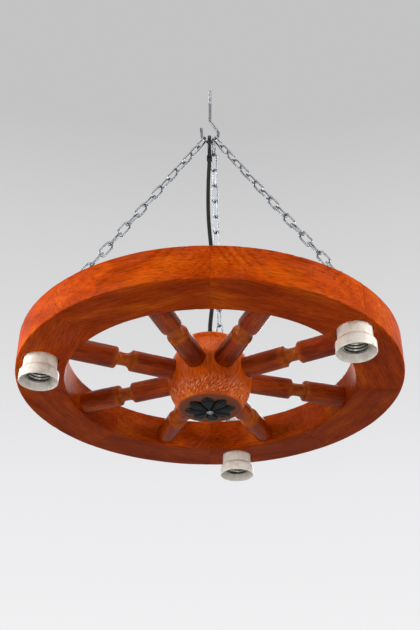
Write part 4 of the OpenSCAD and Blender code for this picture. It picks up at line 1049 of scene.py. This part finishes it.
def hookLine():  # the wire's middle from its tip to the ceiling, in the XZ plane, in mm
    h = hook
    cx, cz = 0, -h["drop"] + h["bowl"]
    lean = math.radians(h["tipLean"])
    start = (cx - h["bowl"] * math.cos(lean), cz - h["bowl"] * math.sin(lean))
    tip = (start[0] - h["tip"] * math.sin(lean), start[1] + h["tip"] * math.cos(lean))
    line = [(tip[0] + (start[0] - tip[0]) * i / 8, tip[1] + (start[1] - tip[1]) * i / 8)
            for i in range(8)]
    line += arcPoints((cx, cz), h["bowl"], 180 + h["tipLean"], 360 - h["backLean"], 32)
    back = math.radians(h["backLean"])
    top = (line[-1][0] + h["back"] * math.sin(back), line[-1][1] + h["back"] * math.cos(back))
    centre = (top[0] - h["backBend"] * math.cos(back), top[1] + h["backBend"] * math.sin(back))
    line += arcPoints(centre, h["backBend"], -h["backLean"], h["slope"], 10)
    slope = math.radians(h["slope"])
    far = (line[-1][0] - h["neckBend"] * (1 - math.cos(slope))) / math.sin(slope)
    x, z = line[-1]
    line += [(x - far * math.sin(slope) * i / 6, z + far * math.cos(slope) * i / 6)
             for i in range(1, 6)]
    x, z = x - far * math.sin(slope), z + far * math.cos(slope)
    neck = (h["neckBend"], z + h["neckBend"] * math.sin(slope))
    line += arcPoints(neck, h["neckBend"], 180 + h["slope"], 180, 8)
    line += [(0, neck[1] + (0.4 - neck[1]) * i / 8) for i in range(1, 9)]
    return [Vector((x, 0, z)) * mm for x, z in line]


def makeHook():
    line = hookLine()
    sides = hook["sides"]
    r = hook["wire"] / 2 * mm
    outward = (line[0] - line[1]).normalized()
    rounding = (1.45, 1.2, 0.9, 0.6, 0.3)  # radians up the tip's rounded end
    cap = [line[0] + outward * r * math.sin(a) for a in rounding]
    capRadius = [r * math.cos(a) for a in rounding]
    path = cap + line
    points = tubePoints(path, lambda i: capRadius[i] if i < len(cap) else r, sides)
    wire = makeMesh("hook_wire", points, latheFaces(len(path), sides), hookSteel, "hook",
                    ["ceiling_hook"])
    finishFaces(wire, 50)
    # Wood thread above the ceiling, cut into the shank
    points, rows = [], 150
    high = hook["screwLength"] + hook["point"]
    for i in range(rows + 1):
        z = high * i / rows
        taper = min(1.0, (high - z) / hook["point"] + 0.06)
        for k in range(sides):
            a = 2 * math.pi * k / sides
            turn = (z / hook["pitch"] - a / (2 * math.pi)) % 1
            ridge = max(0.0, 1 - abs(turn - 0.5) / 0.28)
            grow = min(1.0, z / 1.5)
            core = hook["screw"] / 2 - hook["threadDepth"] * grow
            rr = (core + hook["threadDepth"] * grow * ridge) * taper
            points.append(Vector((rr * math.cos(a), rr * math.sin(a), z)) * mm)
    screw = makeMesh("hook_thread", points, latheFaces(rows + 1, sides), hookSteel, "hook")
    recalcNormals(screw)


makeHook()
print("hook made")


# Small parts kept from the frame

keptFinishes = {
    "hook_sleeve": sleeveRubber, "cord_grommet": sleeveRubber, "cord_tie": sleeveRubber,
    "screw_eyes": zincWire, "rosette_screw": zincWire, "holder_screws": zincWire,
    "junction_block": whitePolyamide, "terminal_block": whitePolyamide,
    "cable_clips": whitePolyamide, "terminal_leads": cordSheath,
    "branch_cable_left": cableWhite, "branch_cable_right": cableWhite,
    "branch_cable_rear": cableWhite
}
for nodeName, finish in keptFinishes.items():
    node = refinish(nodeName, finish)
    if finish == whitePolyamide or nodeName == "cord_tie":
        edge = node.modifiers.new("rounded", "BEVEL")
        edge.width = 0.25 * mm
        edge.segments = 2
        edge.limit_method = "ANGLE"
print("small parts finished")


# Room and light

windows = {  # place, size of the square and power
    "leftWindow": ((-1.95, -0.6, -0.28), 1.1, 64),
    "rightWindow": ((1.8, -0.8, -0.28), 1.0, 42),
    "lowFill": ((0.0, -1.08, -1.02), 0.7, 3.7),
    "topFill": ((0.0, -0.6, 1.4), 1.2, 14),
    "backFill": ((0.3, 1.9, 0.7), 1.3, 17)
}
room = {"floorZ": -2.6, "half": 30.0, "floor": "#D9D9DA", "floorGlow": "#DADADB", "glow": 0.8,
        "ambient": (0.055, 0.055, 0.056, 1),
        "backdrop": [(0.0, "#F3F3F4"), (0.36, "#EBEBED"), (0.78, "#D1D1D1"), (0.93, "#C3C3C3")]}


def softbox(name, place, size, power):
    lamp = bpy.data.lights.new(name, "AREA")
    lamp.size = size
    lamp.energy = power
    box = putInScene(name, lamp)
    box.location = place
    towards = Vector((0, 0, wheelZ)) - Vector(place)
    box.rotation_euler = towards.to_track_quat("-Z", "Y").to_euler()


def seenRays(tree):  # 1 for rays that show the background, 0 for those that light the wheel
    rays = addNode(tree, "ShaderNodeLightPath").outputs
    seen = addNode(tree, "ShaderNodeMath",
                   {0: rays["Is Camera Ray"], 1: rays["Is Glossy Ray"]}, operation="MAXIMUM")
    return addNode(tree, "ShaderNodeMath",
                   {0: seen.outputs[0], 1: rays["Is Transmission Ray"]},
                   operation="MAXIMUM").outputs[0]


def makeBackdrop():
    world = bpy.data.worlds.new("paleRoom")
    bpy.context.scene.world = world
    world.use_nodes = True
    tree = world.node_tree
    direction = addNode(tree, "ShaderNodeTexCoord")
    split = addNode(tree, "ShaderNodeSeparateXYZ", {0: direction.outputs["Generated"]})
    rise = addNode(tree, "ShaderNodeMapRange", {"Value": split.outputs["Z"]},
                   {"From Min": 0.15, "From Max": 0.75})
    colour = blend(tree, seenRays(tree), room["ambient"],
                   grade(tree, rise.outputs["Result"], room["backdrop"]))
    tree.links.new(colour, tree.nodes["Background"].inputs["Color"])


def makeFloor():
    material, tree, surface = newMaterial("paleFloor", Roughness=0.9, Specular_IOR_Level=0.1)
    surface.inputs["Base Color"].default_value = hexColour(room["floor"])
    surface.inputs["Emission Color"].default_value = hexColour(room["floorGlow"])
    glow = addNode(tree, "ShaderNodeMath", {0: seenRays(tree)}, {1: room["glow"]},
                   operation="MULTIPLY")
    tree.links.new(glow.outputs[0], surface.inputs["Emission Strength"])
    mesh = bpy.data.meshes.new("floor")
    corners = [(x * room["half"], y * room["half"], room["floorZ"])
               for x, y in ((-1, -1), (1, -1), (1, 1), (-1, 1))]
    mesh.from_pydata(corners, [], [(0, 1, 2, 3)])
    mesh.materials.append(material)
    putInScene("floor", mesh)


makeBackdrop()
makeFloor()
for name, settings in windows.items():
    softbox(name, *settings)
print("room and windows set")
bpy.context.scene.view_settings.view_transform = "Standard"
